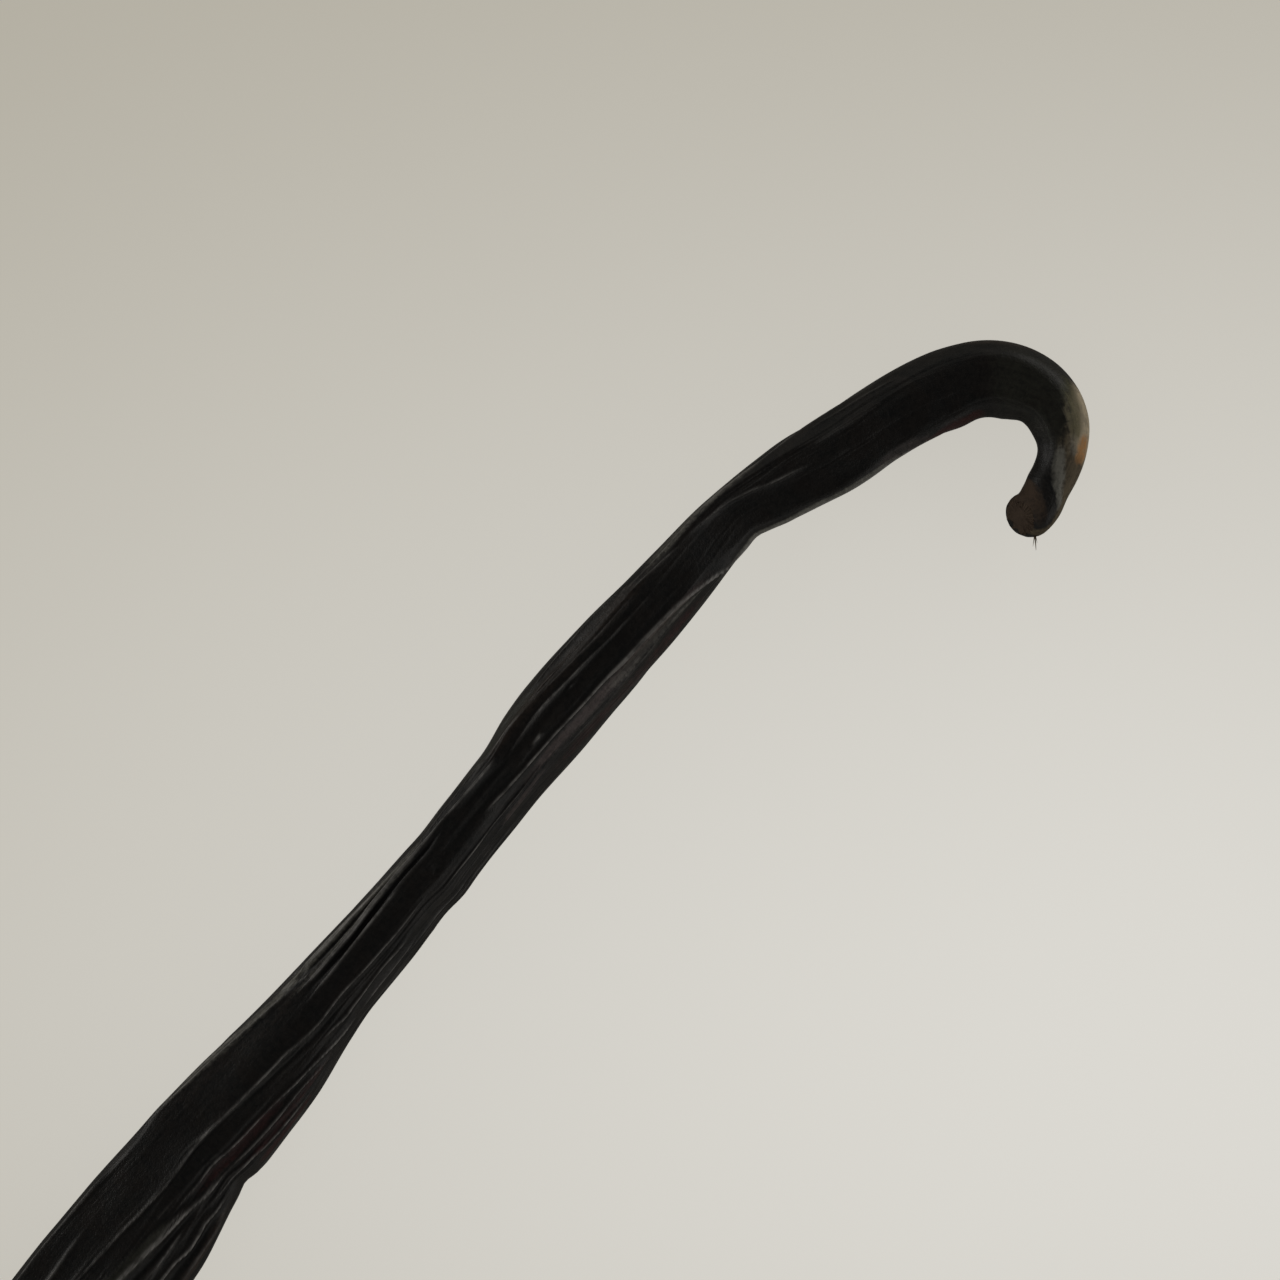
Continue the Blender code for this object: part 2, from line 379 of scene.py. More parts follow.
FOLDS = (
    Fold("stem rib", RIDGE, 0.10, 0.30, ((1.6, 48), (3, 52), (4, 64), (5, 80), (6, 94), (7.4, 108))),
    Fold("neck rim line", RIDGE, 0.10, 0.16, ((22, 40), (26, 38), (29, 33), (32, 28))),
    Fold("neck line", FLAP, 0.10, 0.16, ((23.5, 66), (27, 66), (30, 65), (32.6, 66))),
    Fold("outer rim", LAP, 0.14, 0.12, (
        (26, 20), (30, 14), (34, 22), (38, 26), (41, 28), (44, 33), (47, 36), (50, 30))),
    Fold("cross fold", FLAP, 0.16, 0.22, ((32, 90), (35, 86), (37, 77), (39.5, 68), (41, 60), (44, 50))),
    Fold("inner shoulder", FLAP, 0.30, 0.60, (
        (20, 158), (26, 158), (33, 160), (39, 162), (42, 156), (44, 138), (46, 126), (50, 114), (56, 109))),
    Fold("neck lip", RIDGE, 0.15, 0.13, ((24, 155), (28, 156), (33, 157), (38, 156), (42.4, 157))),
    Fold("inner lip", FLAP, 0.20, 0.14, (
        (41, 159), (42.4, 153), (44, 136), (46, 124), (48, 115), (52, 110), (58, 108.5), (63, 105),
        (66, 102), (70, 94))),
    Fold("flank seam", LAP, 0.07, 0.16, ((44, 138), (48, 131), (52, 133), (58, 136), (63, 136))),
    Fold("flank line", RIDGE, 0.05, 0.20, ((58, 140), (61, 137), (66, 134), (70, 132))),
    Fold("shoulder fold", LAP, 0.14, 0.11, ((43.5, 56), (46, 50), (48, 46), (50, 42))),
    Fold("second shoulder fold", LAP, 0.10, 0.11, ((48, 52), (50, 56), (53, 57), (57, 54), (60, 50))),
    Fold("middle line", LAP, 0.10, 0.11, (
        (47, 72), (50, 75), (53, 73), (57, 70), (60, 67), (64, 69), (66, 66))),
    Fold("middle furrow", FURROW, 0.12, 0.34, ((50, 80), (56, 78), (61, 77), (65, 73), (68, 62), (72, 58))),
    Fold("lip furrow", FURROW, 0.07, 0.30, ((45, 106), (50, 102), (58, 101), (64, 98), (69, 88), (75, 84))),
    Fold("edge line", RIDGE, 0.10, 0.12, ((48.5, 24), (52, 18), (57, 17), (61, 22))),
    Fold("short edge line", RIDGE, 0.09, 0.12, ((56.8, 40), (58.4, 38), (60.6, 38))),
    Fold("rim band", LAP, 0.16, 0.30, ((60, 40), (64, 40), (66, 33), (68, 22), (71, 10))),
    Fold("rim fold", LAP, 0.22, 0.12, (
        (65, 54), (68, 50), (70, 48), (72, 42), (75, 39), (78, 39), (81, 44), (84, 49), (89.6, 51))),
    Fold("rim furrow", FURROW, 0.28, 0.22, ((72, 52), (76, 50), (80, 54), (84, 59), (88.8, 59))),
    Fold("rim edge fold", LAP, 0.14, 0.14, ((75, 32), (78, 29), (82, 28), (85, 25), (90, 21))),
    Fold("rim edge furrow", FURROW, 0.18, 0.12, ((77, 36), (81, 38), (84, 38), (88.5, 36))),
    Fold("rim ledge", RIDGE, 0.07, 0.10, ((73, 24), (77, 20), (82, 18), (88, 14), (93, 12))),
    Fold("upper rim line", RIDGE, 0.08, 0.10, ((66, 30), (70, 33), (74, 30), (78, 33), (84, 32), (88, 29))),
    Fold("top line", LAP, 0.10, 0.12, ((77.5, 64), (81, 63), (84, 66), (87, 70), (90.5, 73))),
    Fold("fan line", RIDGE, 0.14, 0.14, ((86.6, 52), (88.4, 38), (89.4, 26), (91, 16))),
    Fold("second fan line", RIDGE, 0.12, 0.14, ((87.6, 60), (89.2, 44), (90.6, 34), (93, 27), (96, 22))),
    Fold("belly rim", LAP, 0.15, 0.12, (
        (89.5, 36), (92, 33), (95, 29), (98, 26), (101, 23), (104, 19), (107, 9))),
    Fold("outer belly rim", RIDGE, 0.09, 0.12, (
        (90.5, 16), (95, 16), (98, 15), (101, 13), (105, 10), (108, 6))),
    Fold("belly crease", FLAP, 0.15, 0.11, (
        (77, 107), (80, 107), (84, 106), (87, 103.5), (90, 103), (92.5, 98), (94, 93), (98, 89.5),
        (101, 86.5), (104, 86), (107, 85.5), (110, 81), (113, 77), (122, 72), (140, 70))),
    Fold("short fold", FLAP, 0.17, 0.14, (
        (80, 130), (84, 126), (87, 129), (88.5, 130), (90, 124), (92.4, 118))),
    Fold("short edge fold", FLAP, 0.14, 0.12, ((79, 146), (82, 144), (85, 144), (88, 150))),
    Fold("fan fold", FLAP, 0.19, 0.11, (
        (87.5, 150), (90, 145), (92, 137), (94, 129), (97, 121.5), (100, 117), (103, 112.5), (106, 109.5),
        (109.6, 102))),
    Fold("fan shade", FLAP, 0.10, 0.35, ((96, 112), (100, 109), (104, 106), (108, 98), (112, 92))),
    Fold("second fan fold", FLAP, 0.18, 0.11, (
        (90.6, 156), (93, 146), (95, 138), (98, 134.5), (101, 131.5), (104.2, 125))),
    Fold("third fan fold", FLAP, 0.17, 0.11, (
        (95.5, 154), (98, 150), (100, 147), (102, 142), (105, 138), (108, 128))),
    Fold("lobe fold", FLAP, 0.30, 0.30, (
        (103.8, 130), (106, 124), (108, 116), (110, 111), (112, 106), (114, 102), (120, 96), (134, 92))),
    Fold("lobe crown", LAP, 0.12, 0.30, (
        (106, 118), (108, 111), (110, 104), (112, 98), (116, 92), (128, 86))),
    Fold("lobe furrow", FURROW, 0.18, 0.30, ((107, 124), (110, 117), (113, 112), (118, 106), (130, 100))),
    Fold("lobe line", FLAP, 0.14, 0.22, ((108.6, 122), (110, 120), (112, 120), (116, 118), (124, 116))),
    Fold("edge fold", FLAP, 0.22, 0.22, (
        (104.6, 150), (106.5, 146), (108.8, 138), (110.4, 140), (112, 133), (116, 130), (126, 128))),
    Fold("edge furrow", FURROW, 0.16, 0.35, (
        (106.5, 152), (109.5, 146), (112, 142), (118, 140), (128, 138))),
    Fold("lobe edge", RIDGE, 0.18, 0.28, (
        (106, 164), (108, 160), (110, 154), (113, 152), (120, 150), (134, 148))),
    Fold("tail crease", FLAP, 0.20, 0.22, ((116, 110), (126, 106), (140, 100), (156, 96))),
    Fold("tail line", FLAP, 0.12, 0.18, ((121, 84), (130, 82), (142, 80), (151, 82))),
    Fold("tail fold", LAP, 0.16, 0.22, ((114, 50), (126, 54), (140, 58), (160, 66))),
    Fold("tail rim", LAP, 0.18, 0.20, ((109, 20), (118, 22), (130, 26), (145, 30), (160, 34))),
    Fold("tail edge", FLAP, 0.20, 0.25, ((126, 140), (138, 136), (150, 132), (163, 128))),
    Fold("tail furrow", FURROW, 0.20, 0.45, ((134, 88), (144, 86), (154, 84), (163, 88))),
    Fold("under fold", FLAP, 0.26, 0.35, (
        (18, 242), (30, 236), (48, 230), (72, 222), (98, 216), (132, 212), (158, 218))),
    Fold("under edge fold", RIDGE, 0.18, 0.30, ((24, 206), (40, 204), (58, 200), (80, 198), (104, 196))),
    Fold("under rim fold", LAP, 0.26, 0.35, (
        (22, 312), (44, 308), (66, 314), (96, 324), (128, 330), (156, 318))),
    Fold("under line", RIDGE, 0.18, 0.28, ((12, 282), (34, 290), (60, 296), (90, 300))),
    Fold("under furrow", FURROW, 0.28, 0.55, ((28, 268), (48, 264), (70, 258), (94, 254))),
    Fold("side fold", RIDGE, 0.14, 0.26, ((30, 344), (52, 348), (76, 344), (98, 350))),
    Fold("side furrow", FURROW, 0.16, 0.40, ((36, 330), (60, 334), (84, 330))),
    Fold("inner side fold", RIDGE, 0.10, 0.26, ((52, 188), (72, 190), (92, 186), (104, 190))),
    Fold("inner side furrow", FURROW, 0.18, 0.40, ((50, 212), (74, 210), (96, 206))),
)

FLATS = (
    Flat("hook top", ((8, 90, 0.0), (12, 92, 0.22), (18, 94, 0.30), (24, 98, 0.30), (27, 100, 0.0))),
    Flat("neck top", (
        (23, 100, 0.0), (27, 104, 0.45), (33, 108, 0.75), (38, 110, 0.8), (41.5, 109, 0.75),
        (45, 103, 0.42), (48, 101, 0.34), (60, 100, 0.30), (70, 98, 0.24), (80, 96, 0.2), (92, 92, 0.0))),
    Flat("inner flank", (
        (41, 134, 0.0), (46, 132, 0.08), (54, 131, 0.08), (66, 130, 0.08), (76, 128, 0.06), (86, 126, 0.0)
        )),
    Flat("lower flank", (
        (44, 154, 0.0), (50, 154, 0.10), (62, 154, 0.12), (76, 152, 0.08), (88, 150, 0.0))),
    Flat("shoulder", ((44, 48, 0.0), (52, 46, 0.16), (60, 42, 0.18), (66, 42, 0.0))),
    Flat("outer top", (
        (84, 72, 0.0), (94, 74, 0.22), (108, 76, 0.38), (126, 78, 0.40), (144, 80, 0.24), (156, 84, 0.0))),
    Flat("inner top", (
        (92, 108, 0.0), (100, 110, 0.20), (110, 114, 0.26), (122, 114, 0.30), (140, 110, 0.20),
        (152, 108, 0.0))),
)

WRINKLES = Wrinkles(
    count=230, starts=(-6.0, 157.6), lengths=(9.0, 34.0), middles=(0.0, 360.0),
    heights=(0.010, 0.034), widths=(0.08, 0.20), wander=(1.6, 6.0), drift=7.0,
)

FLANK_WRINKLES = Wrinkles(
    count=72, starts=(56.0, 116.0), lengths=(7.0, 20.0), middles=(104.0, 176.0),
    heights=(0.030, 0.075), widths=(0.06, 0.12), wander=(1.2, 5.0),
    course=(
        (58.0, 14.0), (76.0, 10.0), (88.0, 6.0), (96.0, -10.0), (106.0, -26.0), (116.0, -36.0),
        (140.0, -40.0),
    ),
)

CUT_BROWN, DRAB, HUSK, RUST, ASH, OLIVE, MOSS, UMBER, MAROON, MAUVE = Tint

TONES = (
    Tone(CUT_BROWN, (
        (-1, 140, 112), (0.9, 140, 100), (1.6, 150, 76), (2.6, 162, 58), (3.3, 180, 40), (4.0, 190, 14))),
    Tone(DRAB, (
        (-1, 22, 16), (1.2, 22, 24), (2.4, 26, 32), (3.6, 30, 40), (5.0, 42, 50), (6.4, 52, 60),
        (7.6, 62, 58), (8.6, 62, 48), (9.8, 58, 30), (11, 58, 8))),
    # The next two: a pale grey band behind the stem's cut.
    Tone(ASH, (
        (1.8, 44, 8), (3.0, 54, 18), (4.2, 70, 25), (5.2, 83, 26), (6.1, 94, 23), (7.0, 100, 18),
        (8.4, 100, 6))),
    Tone(ASH, ((6.6, 66, 8), (7.8, 66, 26), (9.0, 62, 12)), 0.7),
    Tone(RUST, ((6.2, 43, 10), (7.0, 42, 24), (7.7, 41, 24), (8.6, 38, 10))),
    Tone(HUSK, (
        (6.0, 20, 20), (7.4, 28, 50), (8.6, 32, 62), (9.6, 32, 62), (10.8, 28, 54), (12.0, 22, 24))),
    Tone(MOSS, ((7.4, 66, 8), (8.6, 64, 24), (10, 58, 28), (11.4, 48, 26), (12.6, 36, 12))),
    # Painted sheen: olive-grey on the hook's top.
    Tone(OLIVE, (
        (5.6, 92, 20), (7.4, 92, 70), (9.4, 92, 100), (12, 92, 104), (15, 92, 90), (18, 84, 40)), 0.8),
    # Painted highlight: the thin bright line of the neck lip.
    Tone(ASH, ((24, 155, 4), (27, 155, 7), (30, 155, 7), (36, 156, 8), (40, 156, 8), (44, 147, 5))),
    # The next two: painted highlight that lightens the lit inner flank.
    Tone(ASH, (
        (44.5, 138, 4), (47, 130, 10), (50, 126, 12), (54, 124, 13), (60, 126, 16), (65, 125, 12),
        (69, 122, 4)), 0.15),
    Tone(ASH, (
        (43.4, 148, 3), (45, 140, 7), (48, 127, 12), (51, 124, 13), (54, 123, 12), (58, 124, 5)), 0.55),
    Tone(UMBER, ((12.5, 12, 10), (15.6, 20, 18), (17.0, 22, 14), (19, 16, 8)), 0.8),
    Tone(MAROON, ((16.4, 164, 8), (18, 158, 18), (20.5, 157, 20), (22.5, 158, 14), (24.5, 160, 6))),
    # Painted highlight on the outer rim.
    Tone(ASH, ((34, 20, 6), (37, 22, 16), (41, 24, 20), (45, 30, 18), (49, 34, 8)), 0.7),
    # Painted sheen: mauve-grey near the inner edge.
    Tone(MAUVE, ((21, 156, 8), (24, 152, 18), (27, 150, 16), (29, 150, 8)), 0.5),
    Tone(UMBER, ((44, 44, 8), (49, 44, 24), (58, 44, 26), (66, 42, 14), (70, 30, 6)), 0.55),
    # Painted sheen: the lit mauve-grey panel of the inner flank.
    Tone(MAUVE, ((42, 134, 6), (46, 122, 12), (50, 120, 13), (58, 121, 12), (64, 120, 10), (68, 118, 6))),
    Tone(MAROON, ((43, 158, 8), (50, 154, 22), (58, 154, 20), (66, 158, 10)), 0.5),
    # Painted sheen on the flank.
    Tone(MAUVE, ((63, 134, 5), (66, 135, 9), (70, 136, 5)), 0.8),
    # Painted highlight: a light olive line along the outer rim.
    Tone(OLIVE, ((58, 24, 10), (62, 25, 22), (67, 22, 18), (71, 12, 8)), 0.9),
    # Painted reflection: the bright band along the outer rim.
    Tone(ASH, (
        (70, 24, 6), (76, 30, 13), (82, 30, 13), (88, 27, 12), (92, 26, 13), (97, 23, 13), (103, 17, 11),
        (108, 8, 5)), 0.75),
    # Painted highlight beside the rim fold.
    Tone(ASH, ((73, 40, 3), (78, 42, 8), (84, 44, 7), (89, 47, 5), (92, 44, 3)), 0.5),
    Tone(UMBER, ((84, 52, 12), (90, 52, 18), (98, 40, 14), (108, 40, 12)), 0.25),
    Tone(MAROON, ((95, 126, 5), (100, 122, 9), (104, 118, 8), (108, 110, 4)), 0.8),
    Tone(MAROON, ((91, 148, 4), (96, 143, 9), (101, 140, 9), (104, 136, 4)), 0.7),
    Tone(MAROON, ((94, 160, 4), (98, 161, 10), (103, 160, 6)), 0.7),
    # Painted highlight: olive-grey on the lobe fold's crest.
    Tone(OLIVE, ((108, 106, 4), (111, 103, 7), (114, 99, 9), (120, 94, 8)), 0.9),
    Tone(UMBER, ((104, 160, 4), (109, 158, 9), (114, 154, 8), (122, 150, 4)), 0.9),
    Tone(UMBER, ((116, 44, 14), (130, 50, 24), (146, 56, 22), (162, 66, 12)), 0.5),
)


def pod_specks() -> Keys:
    """Lists the small bumps and pits: a few that catch the eye, then a seeded scatter.

    Returns:
        Rows of distance, angle, height, half the length and half the width.
    """
    named = (
        (57.6, 79.0, 0.16, 0.30, 0.16), (62.4, 90.0, 0.18, 0.34, 0.16),
        (50.0, 87.0, 0.10, 0.16, 0.12), (49.5, 30.0, 0.10, 0.30, 0.12),
        (75.2, 91.0, -0.20, 0.22, 0.28), (88.3, 30.0, -0.30, 0.50, 0.35),
        (48.9, 50.0, -0.16, 0.25, 0.35), (39.4, 168.0, 0.12, 1.30, 0.40),
        (104.2, 100.0, 0.07, 0.25, 0.18), (109.0, 139.0, 0.12, 0.45, 0.25),
    )
    rng = np.random.default_rng(7)
    scattered = []
    for _ in range(170):
        place = (rng.uniform(6.0, 160.0), rng.uniform(0.0, 360.0))
        height = rng.uniform(0.010, 0.035) * rng.choice((1.0, -1.0))
        scattered.append((*place, height, rng.uniform(0.2, 0.7), rng.uniform(0.10, 0.22)))
    return (*named, *scattered)


# ---- The pod's form ----


@dataclass
class PodForm:
    """The shape of the whole pod: its spine, sections, folds and wrinkles.

    Attributes:
        stem_heading: The spine's heading at the cut end, seen from above.
        bends: Length and turn to the left of each stretch of the spine.
        bend_blend: How far neighbouring bends run into each other.
        sections: Distance, reach to the outer and the inner edge, thickness and lean of each
            key section.
        clearances: Distance, and how far the underside stands off the table there.
        tip_rounding: The length over which the blossom end rounds off.
        stem_slant: How far the cut leans in for each millimetre of height.
        stem_slant_length: The length over which the slant fades.
        flat_softness: How softly a pressed flat meets the skin round it.
        fold_fade: The length over which a fold fades in and out.
        fold_swell: The share by which a fold's height varies, and over what length.
        fold_wander: How far a fold wavers, in degrees, and over what length.
        notch: Distance, angle, depth, length and span in degrees of the dent in the inner
            edge where the upper flap of skin ends.
        swells: Lobes round the pod, height and length of each slow unevenness.
        seed: The seed of every random draw.
        folds: The creases.
        flats: The pressed stretches.
        specks: The small bumps and pits.
    """

    stem_heading: float = -31.0
    bends: Keys = (
        (6.2, 56.0), (12.2, 123.0), (6.3, 12.0), (9.3, -1.0), (7.6, 18.0), (15.0, 0.5), (12.0, 2.0),
        (15.0, -0.5), (14.0, -0.5), (14.0, 2.5), (20.0, 0.0), (34.0, -8.0),
    )
    bend_blend: float = 3.0
    sections: Keys = (
        (0.0, 1.42, 1.6, 2.8, 0.0), (0.4, 1.8, 1.76, 3.2, 0.0), (1.0, 1.96, 1.72, 3.4, 0.0),
        (2.4, 1.84, 1.9, 3.4, 0.0), (4.4, 1.5, 2.07, 3.4, 0.0), (5.6, 1.62, 2.0, 3.4, 0.0),
        (7.4, 1.95, 1.88, 3.6, -0.1), (9.4, 2.45, 2.1, 4.1, -0.2), (11.2, 2.7, 2.22, 4.4, -0.2),
        (13.0, 2.83, 2.75, 4.6, -0.2), (14.4, 2.85, 3.0, 4.7, -0.1), (18.0, 2.85, 3.12, 4.8, 0.0),
        (20.2, 2.92, 3.36, 4.8, 0.0), (22.6, 2.9, 3.2, 4.9, 0.2), (26.0, 2.87, 3.14, 5.0, 0.5),
        (28.4, 2.78, 3.26, 5.0, 0.6), (30.0, 2.7, 3.26, 5.0, 0.7), (33.0, 2.58, 3.1, 4.9, 1.1),
        (36.0, 2.3, 2.84, 4.8, 1.5), (38.0, 2.26, 2.35, 4.8, 1.65), (39.2, 2.3, 2.05, 4.8, 1.7),
        (40.6, 2.4, 2.25, 4.9, 1.8), (42.0, 2.5, 2.4, 5.0, 1.9), (46.0, 2.75, 2.7, 5.1, 2.1),
        (51.0, 3.05, 2.95, 5.2, 2.2), (55.0, 3.2, 3.0, 5.2, 2.2), (60.0, 3.3, 2.9, 5.2, 2.2),
        (62.6, 3.2, 2.85, 5.2, 2.2), (66.6, 2.65, 2.75, 5.2, 2.2), (71.0, 2.6, 2.8, 5.2, 2.1),
        (74.0, 2.45, 2.9, 5.2, 2.0), (75.6, 2.5, 3.0, 5.2, 2.0), (78.0, 2.6, 2.8, 5.2, 2.0),
        (82.0, 2.8, 2.95, 5.1, 1.8), (87.0, 3.05, 3.0, 5.0, 1.6), (90.0, 3.24, 3.27, 4.9, 1.4),
        (95.0, 3.83, 4.0, 4.8, 1.1), (98.4, 4.28, 4.28, 4.8, 1.0), (102.6, 4.66, 4.42, 4.7, 0.8),
        (104.0, 4.76, 4.32, 4.7, 0.8), (106.0, 4.8, 4.6, 4.7, 0.7), (112.0, 5.25, 5.65, 4.7, 0.4),
        (118.0, 5.5, 5.85, 4.8, 0.2), (126.0, 5.55, 5.7, 4.8, 0.0), (140.0, 4.95, 4.95, 4.7, -0.4),
        (152.0, 3.75, 3.75, 4.2, -0.4), (160.0, 2.6, 2.6, 3.4, -0.2), (165.2, 1.6, 1.6, 2.5, 0.0),
    )
    clearances: Keys = (
        (0.0, 1.5), (8.0, 0.9), (15.0, 0.1), (19.0, -0.25), (24.0, -0.25), (30.0, 0.2), (45.0, 0.7),
        (70.0, 0.6), (90.0, 0.1), (100.0, -0.28), (135.0, -0.28), (146.0, 0.1), (165.2, 0.9),
    )
    tip_rounding: float = 2.6
    stem_slant: float = 0.6
    stem_slant_length: float = 4.5
    flat_softness: float = 0.07
    fold_fade: float = 2.5
    fold_swell: Range = (0.22, 7.0)
    fold_wander: Range = (0.7, 5.0)
    notch: tuple[float, ...] = (104.0, 178.0, 0.14, 0.7, 34.0)
    swells: Keys = ((2, 0.07, 24.0), (3, 0.07, 16.0), (5, 0.045, 11.0), (8, 0.02, 8.0))
    seed: int = 41
    folds: tuple[Fold, ...] = FOLDS
    flats: tuple[Flat, ...] = FLATS
    specks: Keys = field(default_factory=pod_specks)

    @property
    def length(self) -> float:
        """The pod's length along its spine, in millimetres."""
        return sum(length for length, _ in self.bends)

    def half_sizes(self, distance: Array) -> tuple[Array, ...]:
        """Reads the plain section's half width, shift outwards, half thickness and half lean.

        Args:
            distance: Where to read them, in millimetres from the stem's end.

        Returns:
            The four sizes, in millimetres.
        """
        outer, inner, over, lean = (
            smooth_keys(distance, self.sections, column) for column in (1, 2, 3, 4)
        )
        into_tip = np.clip(1 - (self.length - distance) / self.tip_rounding, 0.0, 1.0)
        closing = np.sqrt(1 - into_tip**2)
        across, aside = (outer + inner) / 2, (outer - inner) / 2
        return across * closing, aside, over / 2 * closing, lean / 2 * closing

    def press_flats(self, grid: Grid) -> Array:
        """Presses the flats into the plain sections.

        Args:
            grid: The rings and angles.

        Returns:
            The pressed sections, as (outwards, up) pairs.
        """
        pressed = grid.section.copy()
        for flat in self.flats:
            start, end = flat.path[0][0], flat.path[-1][0]
            rows = (grid.distance > start) & (grid.distance < end)
            facing, cut = (smooth_keys(grid.distance[rows], flat.path, column) for column in (1, 2))
            facing = np.radians(facing)
            normal = np.stack([np.cos(facing), np.sin(facing)], axis=1)
            reach = np.einsum("rak,rk->ra", pressed[rows], normal)
            over = reach - (reach.max(axis=1) - cut)[:, None]
            held = -self.flat_softness * np.logaddexp(0.0, -over / self.flat_softness)
            pressed[rows] += (held - over)[:, :, None] * normal[:, None, :]
        return pressed

    def fold_rise(self, grid: Grid) -> Array:
        """Adds up what the folds push the skin out.

        Args:
            grid: The rings and angles.

        Returns:
            The rise of each point, in millimetres.
        """
        rng = np.random.default_rng(self.seed)
        rise = grid.level()
        for fold in self.folds:
            swell = 1.0 + self.fold_swell[0] * slow_noise(rng, grid.distance, self.fold_swell[1])
            wander = self.fold_wander[0] * slow_noise(rng, grid.distance, self.fold_wander[1])
            start, end = fold.path[0][0], fold.path[-1][0]
            rows = (grid.distance > start) & (grid.distance < end)
            here = grid.distance[rows]
            away = grid.away(rows, smooth_keys(here, fold.path) + wander[rows])
            fading = min(self.fold_fade, (end - start) / 3)
            fade = ease((here - start) / fading) * ease((end - here) / fading)
            rise[rows] += fold.rise(away) * (fade * swell[rows])[:, None]
        return rise

    def notch_dip(self, grid: Grid) -> Array:
        """Dents the inner edge.

        Args:
            grid: The rings and angles.

        Returns:
            The dip of each point, in millimetres.
        """
        place, angle, depth, length, span = self.notch
        past = (grid.distance[:, None] - place) / length
        beside = turn_apart(grid.angles, angle)[None, :] / span
        return -depth * np.exp(-(past**2) - beside**2)

    def speck_rise(self, grid: Grid) -> Array:
        """Adds up the small bumps and pits.

        Args:
            grid: The rings and angles.

        Returns:
            The rise of each point, in millimetres.
        """
        rise = grid.level()
        for place, angle, height, length, width in self.specks:
            rows = np.abs(grid.distance - place) < 3 * length
            past = (grid.distance[rows, None] - place) / length
            rise[rows] += height * np.exp(-(past**2) - (grid.away(rows, angle) / width) ** 2)
        return rise

    def swell_rise(self, grid: Grid) -> Array:
        """Adds the broad, slow unevenness of dried flesh.

        Args:
            grid: The rings and angles.

        Returns:
            The rise of each point, in millimetres.
        """
        rng = np.random.default_rng(self.seed + 2)
        rise = grid.level()
        for lobes, height, length in self.swells:
            for quarter in (0.0, 90.0):
                wave = np.cos(np.radians(lobes * grid.angles + quarter))
                rise += height * slow_noise(rng, grid.distance, length)[:, None] * wave
        end_length = 8.0
        to_end = self.length - grid.distance
        return rise * (ease(grid.distance / end_length) * ease(to_end / end_length))[:, None]

    def skin(self, grid: Grid) -> tuple[Array, Array]:
        """Makes the skin's points.

        Args:
            grid: The rings and angles.

        Returns:
            The points in millimetres, ring by ring, and the rise of each one.
        """
        section = self.press_flats(grid)
        main = self.fold_rise(grid) + self.notch_dip(grid)
        lowest = (section + grid.normal * main[:, :, None])[:, :, 1].min(axis=1)
        wrinkled = WRINKLES.rise(grid, self.seed + 1) + FLANK_WRINKLES.rise(grid, self.seed + 5)
        fine = self.speck_rise(grid) + wrinkled
        closing = np.clip((self.length - grid.distance) / self.tip_rounding, 0.0, 1.0)[:, None]
        rise = (main + fine + self.swell_rise(grid)) * closing
        section = section + grid.normal * rise[:, :, None]
        upwards = section[:, :, 1] - self.steadied(grid.distance, lowest)[:, None]
        slant = self.stem_slant * np.clip(1 - grid.distance / self.stem_slant_length, 0.0, 1.0)
        lag = slant[:, None] * upwards
        centre, forward, outward = (part[:, None, :] for part in self.frames(grid.distance))
        plan = centre + section[:, :, :1] * outward + lag[:, :, None] * forward
        height = upwards + smooth_keys(grid.distance, self.clearances)[:, None]
        return np.concatenate([plan, height[:, :, None]], axis=2), rise

    def steadied(self, distance: Array, values: Array) -> Array:
        """Smooths a value along the pod, so that no ring stands higher than its neighbours.

        Args:
            distance: Each ring's distance from the stem's end.
            values: Each ring's value.

        Returns:
            The smoothed values.
        """
        samples, reach = 1600, 16
        fine = np.linspace(0.0, self.length, samples)
        window = np.hanning(2 * reach + 1)
        held = np.pad(np.interp(fine, distance, values), reach, mode="edge")
        return np.interp(distance, fine, np.convolve(held, window / window.sum(), mode="valid"))

    def frames(self, distance: Array) -> tuple[Array, Array, Array]:
        """Walks the spine from the stem's cut end, and reads its places and directions.

        Args:
            distance: Where to read them, in millimetres from the stem's end.

        Returns:
            Points, forward directions and outward directions, all seen from above.
        """
        samples = 3304
        along = np.linspace(0.0, self.length, samples)
        step = along[1]
        ends = np.cumsum([0.0] + [length for length, _ in self.bends])
        turned = np.cumsum([self.stem_heading] + [turn for _, turn in self.bends])
        window = np.ones(int(self.bend_blend / step) // 2 * 2 + 1)
        padded = np.linspace(-self.bend_blend, self.length + self.bend_blend, samples)
        eased = np.convolve(np.interp(padded, ends, turned), window / window.size, mode="same")
        heading = np.radians(np.interp(along, padded, eased))
        track = np.stack([np.cos(heading), np.sin(heading)], axis=1) * step
        halfway = (track[1:] + track[:-1]) / 2
        points = np.concatenate([np.zeros((1, 2)), np.cumsum(halfway, axis=0)])
        centre = np.stack([np.interp(distance, along, points[:, axis]) for axis in (0, 1)], axis=1)
        facing = np.interp(distance, along, heading)
        forward = np.stack([np.cos(facing), np.sin(facing)], axis=1)
        outward = np.stack([np.sin(facing), -np.cos(facing)], axis=1)
        return centre, forward, outward


# ---- Node tools and shared shader groups ----


